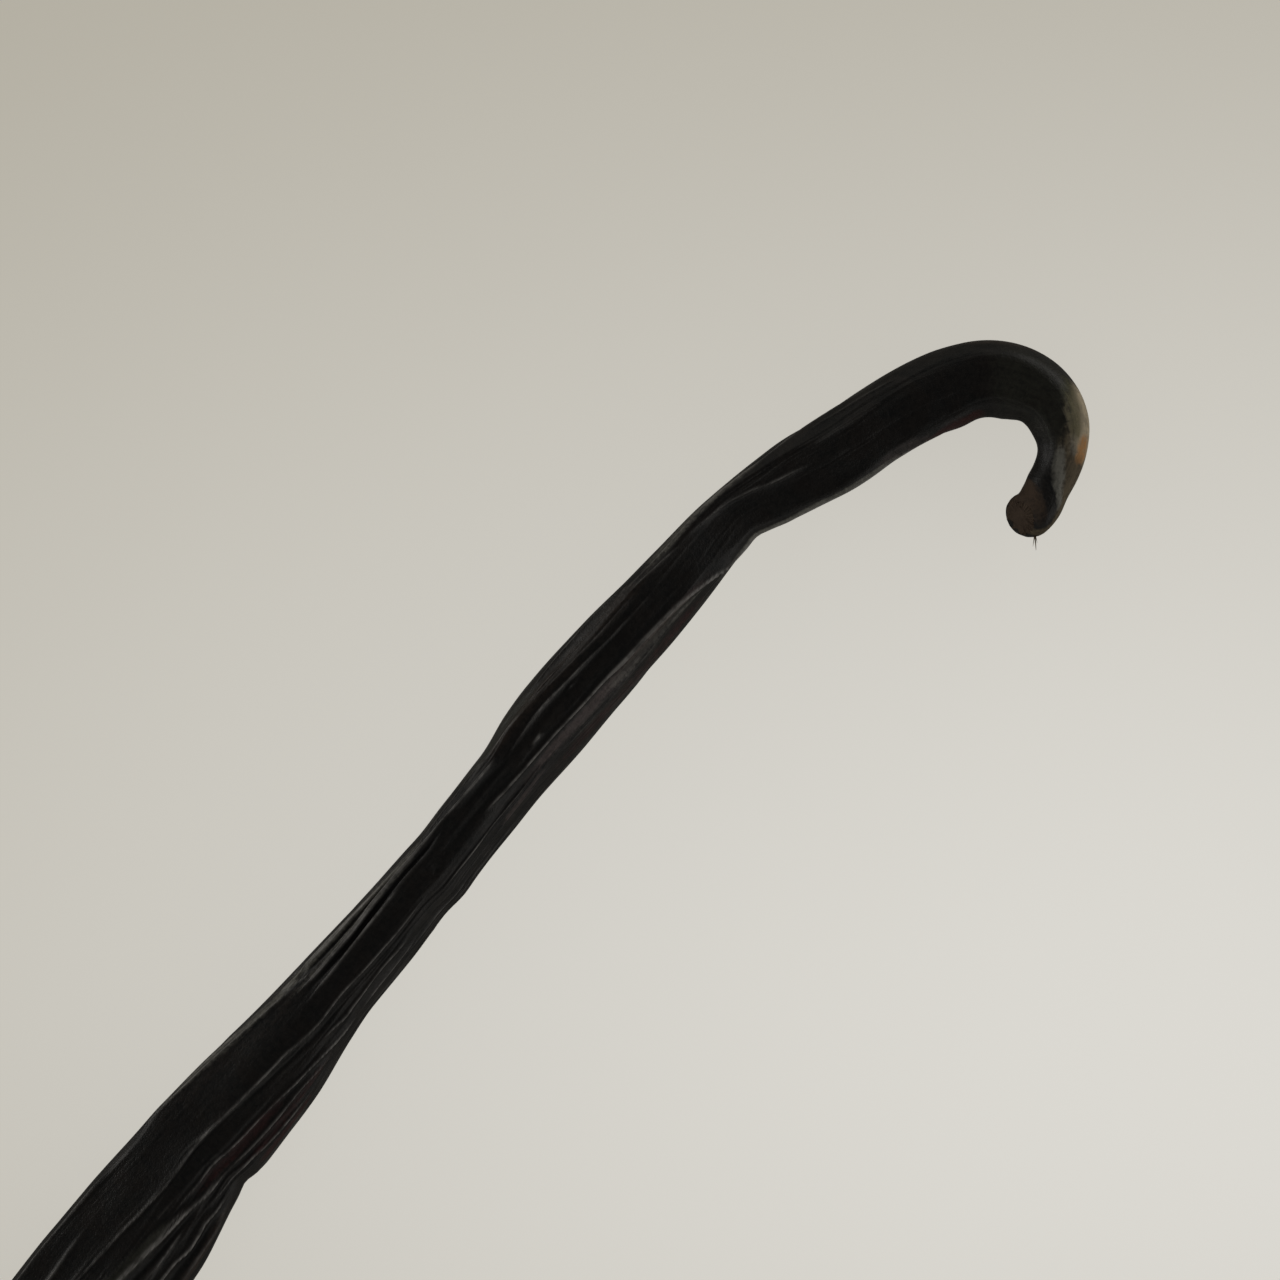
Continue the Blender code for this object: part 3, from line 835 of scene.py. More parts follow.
class NodeSheet:
    """A node tree with short calls to add nodes and join them."""

    def __init__(self, tree: bpy.types.NodeTree) -> None:
        """Starts on a node tree."""
        self.tree = tree

    def join(self, value: object, socket: Socket) -> None:
        """Links an output to a socket, or sets the socket's own value.

        Args:
            value: An output socket, a number, a vector or a colour.
            socket: The input socket.
        """
        if isinstance(value, Socket):
            self.tree.links.new(value, socket)
        elif socket.type == "RGBA" and len(value) == 3:
            socket.default_value = (*value, 1.0)
        else:
            socket.default_value = value

    def add(self, kind: str, inputs: dict[str, object] | None = None, **settings: object) -> Node:
        """Adds a node.

        Args:
            kind: The node's type.
            inputs: What each named input takes.
            **settings: The node's own settings.

        Returns:
            The node.
        """
        node = self.tree.nodes.new(kind)
        for name, value in settings.items():
            setattr(node, name, value)
        for name, value in (inputs or {}).items():
            self.join(value, node.inputs[name])
        return node

    def math(self, operation: str, first: object, second: object, clamp: bool = False) -> Socket:
        """Adds a Math node.

        Args:
            operation: What it works out.
            first: Its first value.
            second: Its second value.
            clamp: Whether its result is held between 0 and 1.

        Returns:
            Its output.
        """
        node = self.add("ShaderNodeMath", operation=operation, use_clamp=clamp)
        self.join(first, node.inputs[0])
        self.join(second, node.inputs[1])
        return node.outputs[0]

    def times(self, first: object, second: object, clamp: bool = False) -> Socket:
        """Multiplies two values."""
        return self.math("MULTIPLY", first, second, clamp)

    def plus(self, first: object, second: object, share: object = 1.0, clamp: bool = False) -> Socket:
        """Adds a share of the second value to the first."""
        return self.math("ADD", first, self.times(second, share), clamp)

    def blend(self, share: object, first: object, second: object) -> Socket:
        """Mixes two colours.

        Args:
            share: The share of the second colour.
            first: The first colour.
            second: The second colour.

        Returns:
            The mixed colour.
        """
        node = self.add("ShaderNodeMix", data_type="RGBA", clamp_factor=True)
        for index, value in zip((0, 6, 7), (share, first, second)):
            self.join(value, node.inputs[index])
        return node.outputs[2]

    def remap(self, value: object, old: tuple[object, object], new: Range = (0.0, 1.0)) -> Socket:
        """Maps a value smoothly from one range to another.

        Args:
            value: The value.
            old: The range that it comes from.
            new: The range that it goes to.

        Returns:
            The mapped value.
        """
        ends = dict(zip(("From Min", "From Max", "To Min", "To Max"), (*old, *new)))
        node = self.add("ShaderNodeMapRange", {**ends, "Value": value}, interpolation_type="SMOOTHSTEP")
        return node.outputs["Result"]

    def noise(self, place: object, scale: object, detail: float, rough: float, bend: float) -> Socket:
        """Adds a noise texture.

        Args:
            place: Where to read it.
            scale: How fine it is.
            detail: How many finer layers it has.
            rough: How strong the finer layers are.
            bend: How far it is bent out of shape.

        Returns:
            Its value.
        """
        inputs = {
            "Vector": place, "Scale": scale, "Detail": detail, "Roughness": rough, "Distortion": bend,
        }
        return self.add("ShaderNodeTexNoise", inputs).outputs["Fac"]

    def bump(self, height: Socket, strength: float, distance: float) -> Socket:
        """Adds a bump node, and gives its normal."""
        inputs = {"Height": height, "Strength": strength, "Distance": distance}
        return self.add("ShaderNodeBump", inputs).outputs["Normal"]

    def own_value(self, name: str, output: str = "Fac") -> Socket:
        """Reads one of the mesh's own values."""
        return self.add("ShaderNodeAttribute", attribute_name=name).outputs[output]

    def group(self, tree: bpy.types.NodeTree, place: Socket, **inputs: float) -> dict[str, Socket]:
        """Places a shared group.

        Args:
            tree: The group.
            place: Where its patterns are read.
            **inputs: The values that it takes.

        Returns:
            Its outputs by name.
        """
        node = self.add("ShaderNodeGroup", node_tree=tree)
        self.join(place, node.inputs["Place"])
        for name, value in inputs.items():
            self.join(value, node.inputs[name])
        return {output.name: output for output in node.outputs}


class SharedGroups:
    """The shader groups that more than one finish uses, each built once."""

    def __init__(self) -> None:
        """Builds the groups."""
        self.grain = self.build_grain()
        self.mottle = self.build_mottle()
        self.pores = self.build_pores()

    @staticmethod
    def start(
        name: str, inputs: dict[str, float], outputs: tuple[str, ...]
    ) -> tuple[NodeSheet, dict[str, Socket], dict[str, Socket]]:
        """Starts a group with its named sockets, the first of which is a place.

        Args:
            name: The group's name.
            inputs: Each value that the group takes besides its place, with its default.
            outputs: The names of the outputs, which are all values.

        Returns:
            The group's sheet, what it is given and what it has to make.
        """
        tree = bpy.data.node_groups.new(name, "ShaderNodeTree")
        tree.interface.new_socket("Place", in_out="INPUT", socket_type="NodeSocketVector")
        for label, default in inputs.items():
            socket = tree.interface.new_socket(label, in_out="INPUT", socket_type="NodeSocketFloat")
            socket.default_value = default
        for label in outputs:
            tree.interface.new_socket(label, in_out="OUTPUT", socket_type="NodeSocketFloat")
        sheet = NodeSheet(tree)
        given, made = sheet.add("NodeGroupInput").outputs, sheet.add("NodeGroupOutput").inputs
        return sheet, given, made

    def build_grain(self) -> bpy.types.NodeTree:
        """Builds the grain that runs along the pod: drawn-out noise at two sizes.

        Returns:
            The group, with a height and a streak mask.
        """
        settings = {"Fineness": 4.0, "Stretch": 0.12}
        sheet, given, made = self.start("lengthwise grain", settings, ("Height", "Streaks"))
        parts = sheet.add("ShaderNodeSeparateXYZ", {"Vector": given["Place"]}).outputs
        along = sheet.times(parts["Z"], given["Stretch"])
        joined = sheet.add("ShaderNodeCombineXYZ", {"X": parts["X"], "Y": parts["Y"], "Z": along})
        drawn = joined.outputs["Vector"]
        fine = sheet.noise(drawn, given["Fineness"], 5.0, 0.55, 0.25)
        coarse = sheet.noise(drawn, sheet.times(given["Fineness"], 0.3), 2.0, 0.5, 0.0)
        height = sheet.plus(sheet.times(fine, 0.65), coarse, 0.35)
        sheet.join(height, made["Height"])
        sheet.join(sheet.remap(height, (0.42, 0.62)), made["Streaks"])
        return sheet.tree

    def build_mottle(self) -> bpy.types.NodeTree:
        """Builds soft cloudy patches.

        Returns:
            The group, with a mask.
        """
        settings = {"Fineness": 0.3, "Low": 0.38, "High": 0.62}
        sheet, given, made = self.start("soft mottle", settings, ("Mask",))
        cloud = sheet.noise(given["Place"], given["Fineness"], 4.0, 0.6, 0.5)
        sheet.join(sheet.remap(cloud, (given["Low"], given["High"])), made["Mask"])
        return sheet.tree

    def build_pores(self) -> bpy.types.NodeTree:
        """Builds the fine cell pattern of dried skin.

        Returns:
            The group, with a height.
        """
        sheet, given, made = self.start("dried cells", {"Fineness": 5.0}, ("Height",))
        cells = sheet.add(
            "ShaderNodeTexVoronoi",
            {"Vector": given["Place"], "Scale": given["Fineness"], "Randomness": 1.0},
            feature="DISTANCE_TO_EDGE",
        )
        sheet.join(sheet.remap(cells.outputs["Distance"], (0.0, 0.22)), made["Height"])
        return sheet.tree


# ---- Finishes ----


def new_material(name: str, preview: Colour) -> tuple[Material, NodeSheet, Node]:
    """Makes a material with one Principled shader.

    Args:
        name: The material's name.
        preview: The colour that solid views show.

    Returns:
        The material, its node sheet and its shader.
    """
    material = bpy.data.materials.new(name)
    material.use_nodes = True
    material.diffuse_color = (*preview, 1.0)
    return material, NodeSheet(material.node_tree), material.node_tree.nodes["Principled BSDF"]


@dataclass(frozen=True)
class SkinFinish:
    """Cured skin: near-black, oily, with painted crest highlights, painted furrow shade and stretch tints.

    Attributes:
        black: The skin's own colour.
        warm: Its colour in soft clouds.
        crest: The painted highlight laid along its crests.
        deep: The painted shade laid in its furrows.
        fleck: The colour of its fine flecks.
        tints: Each tint's colour and the most of it that shows.
        under_crests: How many of the tints lie under the painted crest highlights.
        crest_bite: How sharply the painted highlight keeps to the very crests.
        roughness: The skin's roughness before its patches.
        oil: The most of the oily coat that shows.
        oil_roughness: The oily coat's roughness.
        ior: The skin's refraction.
        relief_depth: How deep the finest relief is, in metres.
    """

    black: Colour = paint(14, 14, 14)
    warm: Colour = paint(26, 20, 17)
    # Painted highlight for the crests.
    crest: Colour = paint(180, 176, 172)
    # Painted shade for the furrows.
    deep: Colour = paint(5, 5, 5)
    fleck: Colour = paint(60, 55, 50)
    tints: TintTable = (
        # Olive: painted sheen and highlight.
        (OLIVE, paint(60, 60, 50), 0.8),
        # Mauve: painted sheen on the lit flank.
        (MAUVE, paint(108, 93, 91), 0.85),
        (UMBER, paint(70, 56, 47), 0.8),
        (MAROON, paint(92, 40, 40), 0.7),
        (DRAB, paint(136, 122, 99), 0.9),
        # Ash: a grey band behind the cut, elsewhere painted highlight and painted reflection.
        (ASH, paint(158, 155, 145), 0.9),
        (CUT_BROWN, paint(98, 80, 65), 0.95),
        (HUSK, paint(240, 222, 190), 1.0),
        (MOSS, paint(84, 84, 44), 0.7),
        (RUST, paint(232, 168, 102), 0.9),
    )
    under_crests: int = 6
    crest_bite: float = 2.4
    roughness: float = 0.40
    oil: float = 0.22
    oil_roughness: float = 0.25
    ior: float = 1.46
    relief_depth: float = 0.0001

    def material(self, groups: SharedGroups) -> Material:
        """Builds the material.

        Args:
            groups: The shared shader groups.

        Returns:
            The material.
        """
        material, sheet, shader = new_material("cured_skin", self.black)
        place = sheet.own_value("skin_place", "Vector")
        grain = sheet.group(groups.grain, place, Fineness=3.4, Stretch=0.10)
        cloud = sheet.group(groups.mottle, place, Fineness=0.34)["Mask"]
        cells = sheet.group(groups.pores, place, Fineness=4.2)["Height"]
        fleck = sheet.group(groups.mottle, place, Fineness=2.6, Low=0.34, High=0.66)["Mask"]
        broken = sheet.group(groups.mottle, place, Fineness=0.9, Low=0.3, High=0.6)["Mask"]
        crest, deep = sheet.own_value("crest"), sheet.own_value("furrow")
        patchy = sheet.plus(sheet.times(fleck, 0.55), grain["Streaks"], 0.45)
        colour = sheet.blend(cloud, self.black, self.warm)
        colour = sheet.blend(sheet.times(fleck, 0.30), colour, self.fleck)
        colour = self.lay_tints(sheet, colour, self.tints[: self.under_crests], patchy)
        # Painted highlight: a pale colour laid along the crests, broken up by mottle and grain.
        sharp = sheet.math("POWER", crest, self.crest_bite)
        sharp = sheet.times(sharp, sheet.remap(broken, (0.0, 1.0), (0.45, 1.0)))
        crest_highlight = sheet.times(sharp, sheet.remap(grain["Streaks"], (0.0, 1.0), (0.6, 0.95)))
        colour = sheet.blend(crest_highlight, colour, self.crest)
        # Painted shade: darkens the furrows.
        colour = sheet.blend(sheet.times(deep, 0.8), colour, self.deep)
        colour = self.lay_tints(sheet, colour, self.tints[self.under_crests :], patchy)
        sheet.join(colour, shader.inputs["Base Color"])
        dry = sheet.own_value(DRAB.value)
        for tint in (HUSK, CUT_BROWN):
            dry = sheet.math("MAXIMUM", dry, sheet.own_value(tint.value))
        rough = sheet.plus(self.roughness, cloud, -0.07)
        for value, share in ((grain["Height"], 0.08), (crest, -0.05), (deep, 0.2)):
            rough = sheet.plus(rough, value, share)
        sheet.join(sheet.plus(rough, dry, 0.35, clamp=True), shader.inputs["Roughness"])
        height = sheet.plus(sheet.plus(grain["Height"], cells, 0.14), fleck, 0.20)
        sheet.join(sheet.bump(height, 0.55, self.relief_depth), shader.inputs["Normal"])
        oily = sheet.times(sheet.remap(cloud, (0.0, 1.0), (0.5, 1.0)), self.oil)
        oily = sheet.times(oily, sheet.remap(dry, (0.0, 0.6), (1.0, 0.0)))
        sheet.join(oily, shader.inputs["Coat Weight"])
        shader.inputs["Coat Roughness"].default_value = self.oil_roughness
        shader.inputs["IOR"].default_value = self.ior
        return material

    @staticmethod
    def lay_tints(sheet: NodeSheet, colour: Socket, tints: TintTable, patchy: Socket) -> Socket:
        """Lays tints over the skin, each with a broken edge.

        Args:
            sheet: The material's sheet.
            colour: The colour so far.
            tints: Each tint's colour and the most of it that shows.
            patchy: The fine patches that break the edges up.

        Returns:
            The tinted colour.
        """
        for tint, over, most in tints:
            own = sheet.own_value(tint.value)
            broken = sheet.plus(own, sheet.math("SUBTRACT", patchy, 0.5), 0.6, clamp=True)
            held = sheet.times(sheet.math("POWER", broken, 1.4), most)
            share = sheet.times(held, sheet.times(own, 2.5, clamp=True))
            colour = sheet.blend(share, colour, over)
        return colour


@dataclass(frozen=True)
class FibreFinish:
    """Torn stem fibre: dry, brown to straw, with its grain along each strand.

    Attributes:
        name: The material's name.
        dark: Its colour at the roots.
        light: Its colour where it is bleached.
        roughness: Its roughness.
        relief_depth: How deep its finest relief is, in metres.
    """

    name: str
    dark: Colour
    light: Colour
    roughness: float = 0.70
    relief_depth: float = 0.00005

    def material(self, groups: SharedGroups) -> Material:
        """Builds the material.

        Args:
            groups: The shared shader groups.

        Returns:
            The material.
        """
        material, sheet, shader = new_material(self.name, self.dark)
        place = sheet.own_value("skin_place", "Vector")
        grain = sheet.group(groups.grain, place, Fineness=6.0, Stretch=0.3)
        cloud = sheet.group(groups.mottle, place, Fineness=1.4)["Mask"]
        share = sheet.times(sheet.own_value("bleach"), grain["Streaks"])
        share = sheet.plus(share, cloud, 0.25, clamp=True)
        sheet.join(sheet.blend(share, self.dark, self.light), shader.inputs["Base Color"])
        sheet.join(sheet.plus(self.roughness, grain["Height"], 0.15), shader.inputs["Roughness"])
        relief = sheet.bump(grain["Height"], 0.4, self.relief_depth)
        sheet.join(relief, shader.inputs["Normal"])
        return material


@dataclass(frozen=True)
class PaperFinish:
    """The pale, faintly warm sheet that the pod lies on; it glows, a painted pool of light to one side.

    Attributes:
        light: The paper's colour.
        shade: Its colour in faint clouds.
        bright_glow: The painted glow where it is brightest.
        dim_glow: The painted glow far from there.
        bright_place: Where it is brightest, in metres on the floor.
        turn: The turn of the bright patch's long side, in degrees.
        spread: How far the bright patch reaches along and across, in metres.
        to_pod: How much of the glow other surfaces catch.
        roughness: The paper's roughness.
    """

    light: Colour = paint(158, 156, 148)
    shade: Colour = paint(154, 151, 142)
    bright_glow: Colour = (0.665, 0.65, 0.61)
    dim_glow: Colour = (0.385, 0.36, 0.30)
    bright_place: Range = (0.045, -0.055)
    turn: float = -51.57
    spread: Range = (0.19, 0.108)
    to_pod: float = 0.12
    roughness: float = 0.95

    def material(self, groups: SharedGroups) -> Material:
        """Builds the material.

        Args:
            groups: The shared shader groups.

        Returns:
            The material.
        """
        material, sheet, shader = new_material("pale_paper", self.light)
        place = sheet.add("ShaderNodeTexCoord").outputs["Object"]
        cloud = sheet.group(groups.mottle, place, Fineness=22.0, Low=0.3, High=0.7)["Mask"]
        sheet.join(sheet.blend(cloud, self.light, self.shade), shader.inputs["Base Color"])
        # Painted light: the sheet glows, brightest in one patch and dimmer away from it.
        patch = {
            "Vector": place,
            "Location": (*self.bright_place, 0.0),
            "Rotation": (0.0, 0.0, math.radians(self.turn)),
            "Scale": (*self.spread, 1.0),
        }
        from_bright = sheet.add("ShaderNodeMapping", patch, vector_type="TEXTURE").outputs["Vector"]
        away = sheet.add("ShaderNodeVectorMath", {"Vector": from_bright}, operation="LENGTH")
        far = sheet.remap(away.outputs["Value"], (0.0, 1.15))
        glow = sheet.blend(far, self.bright_glow, self.dim_glow)
        sheet.join(glow, shader.inputs["Emission Color"])
        # The camera sees all of the painted glow, other surfaces only a share of it.
        seen = sheet.add("ShaderNodeLightPath").outputs["Is Camera Ray"]
        strength = sheet.remap(seen, (0.0, 1.0), (self.to_pod, 1.0))
        sheet.join(strength, shader.inputs["Emission Strength"])
        shader.inputs["Roughness"].default_value = self.roughness
        shader.inputs["Specular IOR Level"].default_value = 0.1
        return material


# ---- Pieces ----


def mesh_piece(
    name: str, points: Array, faces: Faces, material: Material, values: dict[str, Array]
) -> Piece:
    """Makes a piece from points and faces, and lets it ride on the pod's body.

    Args:
        name: The piece's name.
        points: Its points, in millimetres in the frame.
        faces: The points of each face.
        material: Its material.
        values: The mesh's own values: a number or a vector for each point, by name.

    Returns:
        The piece.
    """
    mesh = bpy.data.meshes.new(name)
    mesh.from_pydata((points * MM).tolist(), [], faces)
    mesh.update()
    mesh.shade_smooth()
    mesh.materials.append(material)
    for label, numbers in values.items():
        kind, part = ("FLOAT_VECTOR", "vector") if numbers.ndim == 2 else ("FLOAT", "value")
        made = mesh.attributes.new(label, kind, "POINT")
        made.data.foreach_set(part, numbers.astype(np.float32).ravel())
    piece = bpy.data.objects.new(name, mesh)
    bpy.context.scene.collection.objects.link(piece)
    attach(piece, BODY)
    return piece


def tube_faces(rings: int, sides: int) -> Faces:
    """Lists the faces between rings of points that close on themselves.

    Args:
        rings: How many rings there are.
        sides: How many points a ring has.

    Returns:
        The faces, facing out for rings that turn against the direction they follow.
    """
    faces = []
    for near in range(0, (rings - 1) * sides, sides):
        for side in range(sides):
            after = (side + 1) % sides
            faces.append((near + side, near + sides + side, near + sides + after, near + after))
    return faces


def closed_tube(rings: Array, turned: bool = False) -> tuple[Array, Faces]:
    """Joins rings of points into a tube, and closes each end with a fan.

    Args:
        rings: The rings, each with its points.
        turned: Whether the rings turn along with the direction they follow.

    Returns:
        The points, with each end's middle last, and the faces.
    """
    count, sides = rings.shape[:2]
    points = np.concatenate([rings.reshape(-1, 3), rings[[0, -1]].mean(axis=1)])
    faces = tube_faces(count, sides)
    last, hub = (count - 1) * sides, count * sides
    for side in range(sides):
        after = (side + 1) % sides
        faces.append((side, after, hub))
        faces.append((last + after, last + side, hub + 1))
    return points, [face[::-1] for face in faces] if turned else faces


def rim_facing(rim: Array) -> tuple[Array, Array]:
    """Finds which way a ring of the skin faces.

    Args:
        rim: The ring's points.

    Returns:
        Its middle, and the direction that its flat side faces: out of the stem's cut.
    """
    middle = rim.mean(axis=0)
    normal = np.cross(rim[0] - middle, rim[len(rim) // 4] - middle)
    return middle, normal / np.linalg.norm(normal)


@dataclass
class PodSkin:
    """The pod's whole skin, as one closed mesh.

    Attributes:
        form: The pod's shape.
        rings: How many rings the hook, the creased body, the tail and the rounded tip have.
        hook_end: Where the hook stops, in millimetres.
        body_end: Where the creased body stops, in millimetres.
        tip_turn: How far round the rounded end its last ring lies, in degrees.
        shown: The angles between which the side that shows lies.
        sides_above: How many points a ring has on the side that shows.
        sides_below: How many points it has underneath.
        surroundings: How much skin beside a point its rise is held against, in millimetres.
        full_crest: The rise over its surroundings that makes a full crest, in millimetres.
        full_furrow: The dip that makes a full furrow, in millimetres.
        collar_at: The number of the ring that the stem's wisp hangs on to.
    """

    form: PodForm
    rings: tuple[int, int, int, int] = (118, 178, 58, 12)
    hook_end: float = 30.0
    body_end: float = 112.0
    tip_turn: float = 82.0
    shown: Range = (-14.0, 194.0)
    sides_above: int = 218
    sides_below: int = 53
    surroundings: float = 0.3
    full_crest: float = 0.10
    full_furrow: float = 0.075
    collar_at: int = 2

    def grid(self) -> Grid:
        """Lays out the rings and angles: close together in the hook and on the side that shows.

        Returns:
            The rings and angles.
        """
        tip = self.form.tip_rounding
        tail_end = self.form.length - tip
        in_hook, in_body, in_tail, in_tip = self.rings
        hook = np.linspace(0.0, self.hook_end, in_hook, endpoint=False)
        body = np.linspace(self.hook_end, self.body_end, in_body, endpoint=False)
        tail = np.linspace(self.body_end, tail_end, in_tail)
        turn = np.linspace(0.0, math.radians(self.tip_turn), in_tip + 1)[1:]
        distance = np.concatenate([hook, body, tail, tail_end + tip * np.sin(turn)])
        start, end = self.shown
        above = np.linspace(start, end, self.sides_above, endpoint=False)
        below = np.linspace(end, start + 360.0, self.sides_below, endpoint=False)
        return Grid(distance, np.concatenate([above, below]), self.form.half_sizes(distance))

    def build(self, material: Material) -> Piece:
        """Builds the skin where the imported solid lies.

        Args:
            material: The skin's material.

        Returns:
            The piece.
        """
        grid = self.grid()
        rings, rise = self.form.skin(grid)
        rings = rings + self.to_frame(rings.reshape(-1, 3))
        rings[:, :, 2] = np.maximum(rings[:, :, 2], 0.0)
        self.stem_ring, self.collar_ring, self.tip_ring = rings[0], rings[self.collar_at], rings[-1]
        points, faces = closed_tube(rings)
        piece = mesh_piece("pod_skin", points, faces, material, self.values(grid, rise))
        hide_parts(NODE)
        return piece

    @staticmethod
    def to_frame(points: Array) -> Array:
        """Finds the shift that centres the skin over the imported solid.

        Args:
            points: The skin's points, in millimetres.

        Returns:
            The shift, in millimetres.
        """
        low, high = (np.array(corner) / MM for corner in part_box(NODE))
        shift = (low + high) / 2 - (points.min(axis=0) + points.max(axis=0)) / 2
        shift[2] = low[2]
        return shift

    def values(self, grid: Grid, rise: Array) -> dict[str, Array]:
        """Works out the mesh's own values, which the skin's finish reads.

        Args:
            grid: The rings and angles.
            rise: How far each point stands out from the plain section.

        Returns:
            Each value by name, with the two end points last.
        """
        across, _, over, _ = grid.sizes
        girth = 2 * math.pi * np.sqrt((across**2 + over**2) / 2)
        relief = rise - blur_round(rise, grid.angles, self.surroundings / np.maximum(girth, 1.0))
        # The crest mask carries the painted crest highlight, the furrow mask the painted furrow shade.
        masks = {
            "crest": np.clip(relief / self.full_crest, 0.0, 1.0),
            "furrow": np.clip(-relief / self.full_furrow, 0.0, 1.0),
            **{tint.value: grid.level() for tint in Tint},
        }
        for tone in TONES:
            mask = masks[tone.tint.value]
            rows, share = tone.share(grid.distance, grid.angles)
            mask[rows] = np.maximum(mask[rows], share)
        made = {
            name: np.concatenate([mask.ravel(), mask[[0, -1]].mean(axis=1)])
            for name, mask in masks.items()
        }
        return {**made, "skin_place": self.places(grid, (across + over) / 2)}

    @staticmethod
    def places(grid: Grid, radius: Array) -> Array:
        """Gives each point a place on a straightened pod, so that patterns follow its bends.

        Args:
            grid: The rings and angles.
            radius: Each ring's mean radius.

        Returns:
            The places, in millimetres, with the two end points last.
        """
        turn, wide = np.radians(grid.angles)[None, :], radius[:, None]
        along = grid.distance[:, None] + grid.level()
        rings = np.stack([wide * np.cos(turn), wide * np.sin(turn), along], axis=2)
        ends = np.array([[0.0, 0.0, place] for place in grid.distance[[0, -1]]])
        return np.concatenate([rings.reshape(-1, 3), ends])


@dataclass
class Strand:
    """One tapered strand of fibre.

    Attributes:
        root: Where it starts, in millimetres.
        way: The direction it sets out in, of any length.
        length: Its length, in millimetres.
        radius: Its radius at the root, in millimetres.
        curl: How far its end bends to the side, as a vector in millimetres.
        rings: How many rings it has.
        sides: How many points a ring has.
        taper: How much of its radius is gone at its end.
    """

    root: Array
    way: Array
    length: float
    radius: float
    curl: Array
    rings: int = 8
    sides: int = 7
    taper: float = 0.8

    def mesh(self) -> Mesh:
        """Builds the strand as a closed tapered tube.

        Returns:
            Its points, its faces, and each point's share of the way to the end.
        """
        share = np.linspace(0.0, 1.0, self.rings)
        straight = self.length * self.way / np.linalg.norm(self.way)
        path = self.root + share[:, None] * straight + share[:, None] ** 2 * self.curl
        forward = np.gradient(path, axis=0)
        forward /= np.linalg.norm(forward, axis=1)[:, None]
        side = np.cross(forward, np.array([0.3, -0.5, 0.8]))
        side /= np.linalg.norm(side, axis=1)[:, None]
        upper = np.cross(forward, side)
        turn = np.linspace(0.0, -2 * math.pi, self.sides, endpoint=False)[None, :, None]
        around = np.cos(turn) * side[:, None, :] + np.sin(turn) * upper[:, None, :]
        radius = self.radius * (1 - self.taper * share**1.5)
        points = (path[:, None, :] + radius[:, None, None] * around).reshape(-1, 3)
        faces = tube_faces(self.rings, self.sides)
        first = range(self.sides)
        faces += [tuple(first), tuple(len(points) - 1 - k for k in first)]
        return points, faces, np.repeat(share, self.sides)


def strand_piece(name: str, strands: list[Strand], material: Material, paleness: Range) -> Piece:
    """Joins strands of fibre into one piece.

    Args:
        name: The piece's name.
        strands: The strands.
        material: Their material.
        paleness: How bleached they are at their roots and at their ends, 0 to 1.

    Returns:
        The piece.
    """
    points, faces, shares = [], [], []
    start = 0
    for strand in strands:
        own_points, own_faces, own_share = strand.mesh()
        points.append(own_points)
        faces.extend(tuple(start + k for k in face) for face in own_faces)
        shares.append(own_share)
        start += len(own_points)
    joined = np.concatenate(points)
    root, end = paleness
    values = {"bleach": root + (end - root) * np.concatenate(shares), "skin_place": joined}
    return mesh_piece(name, joined, faces, material, values)


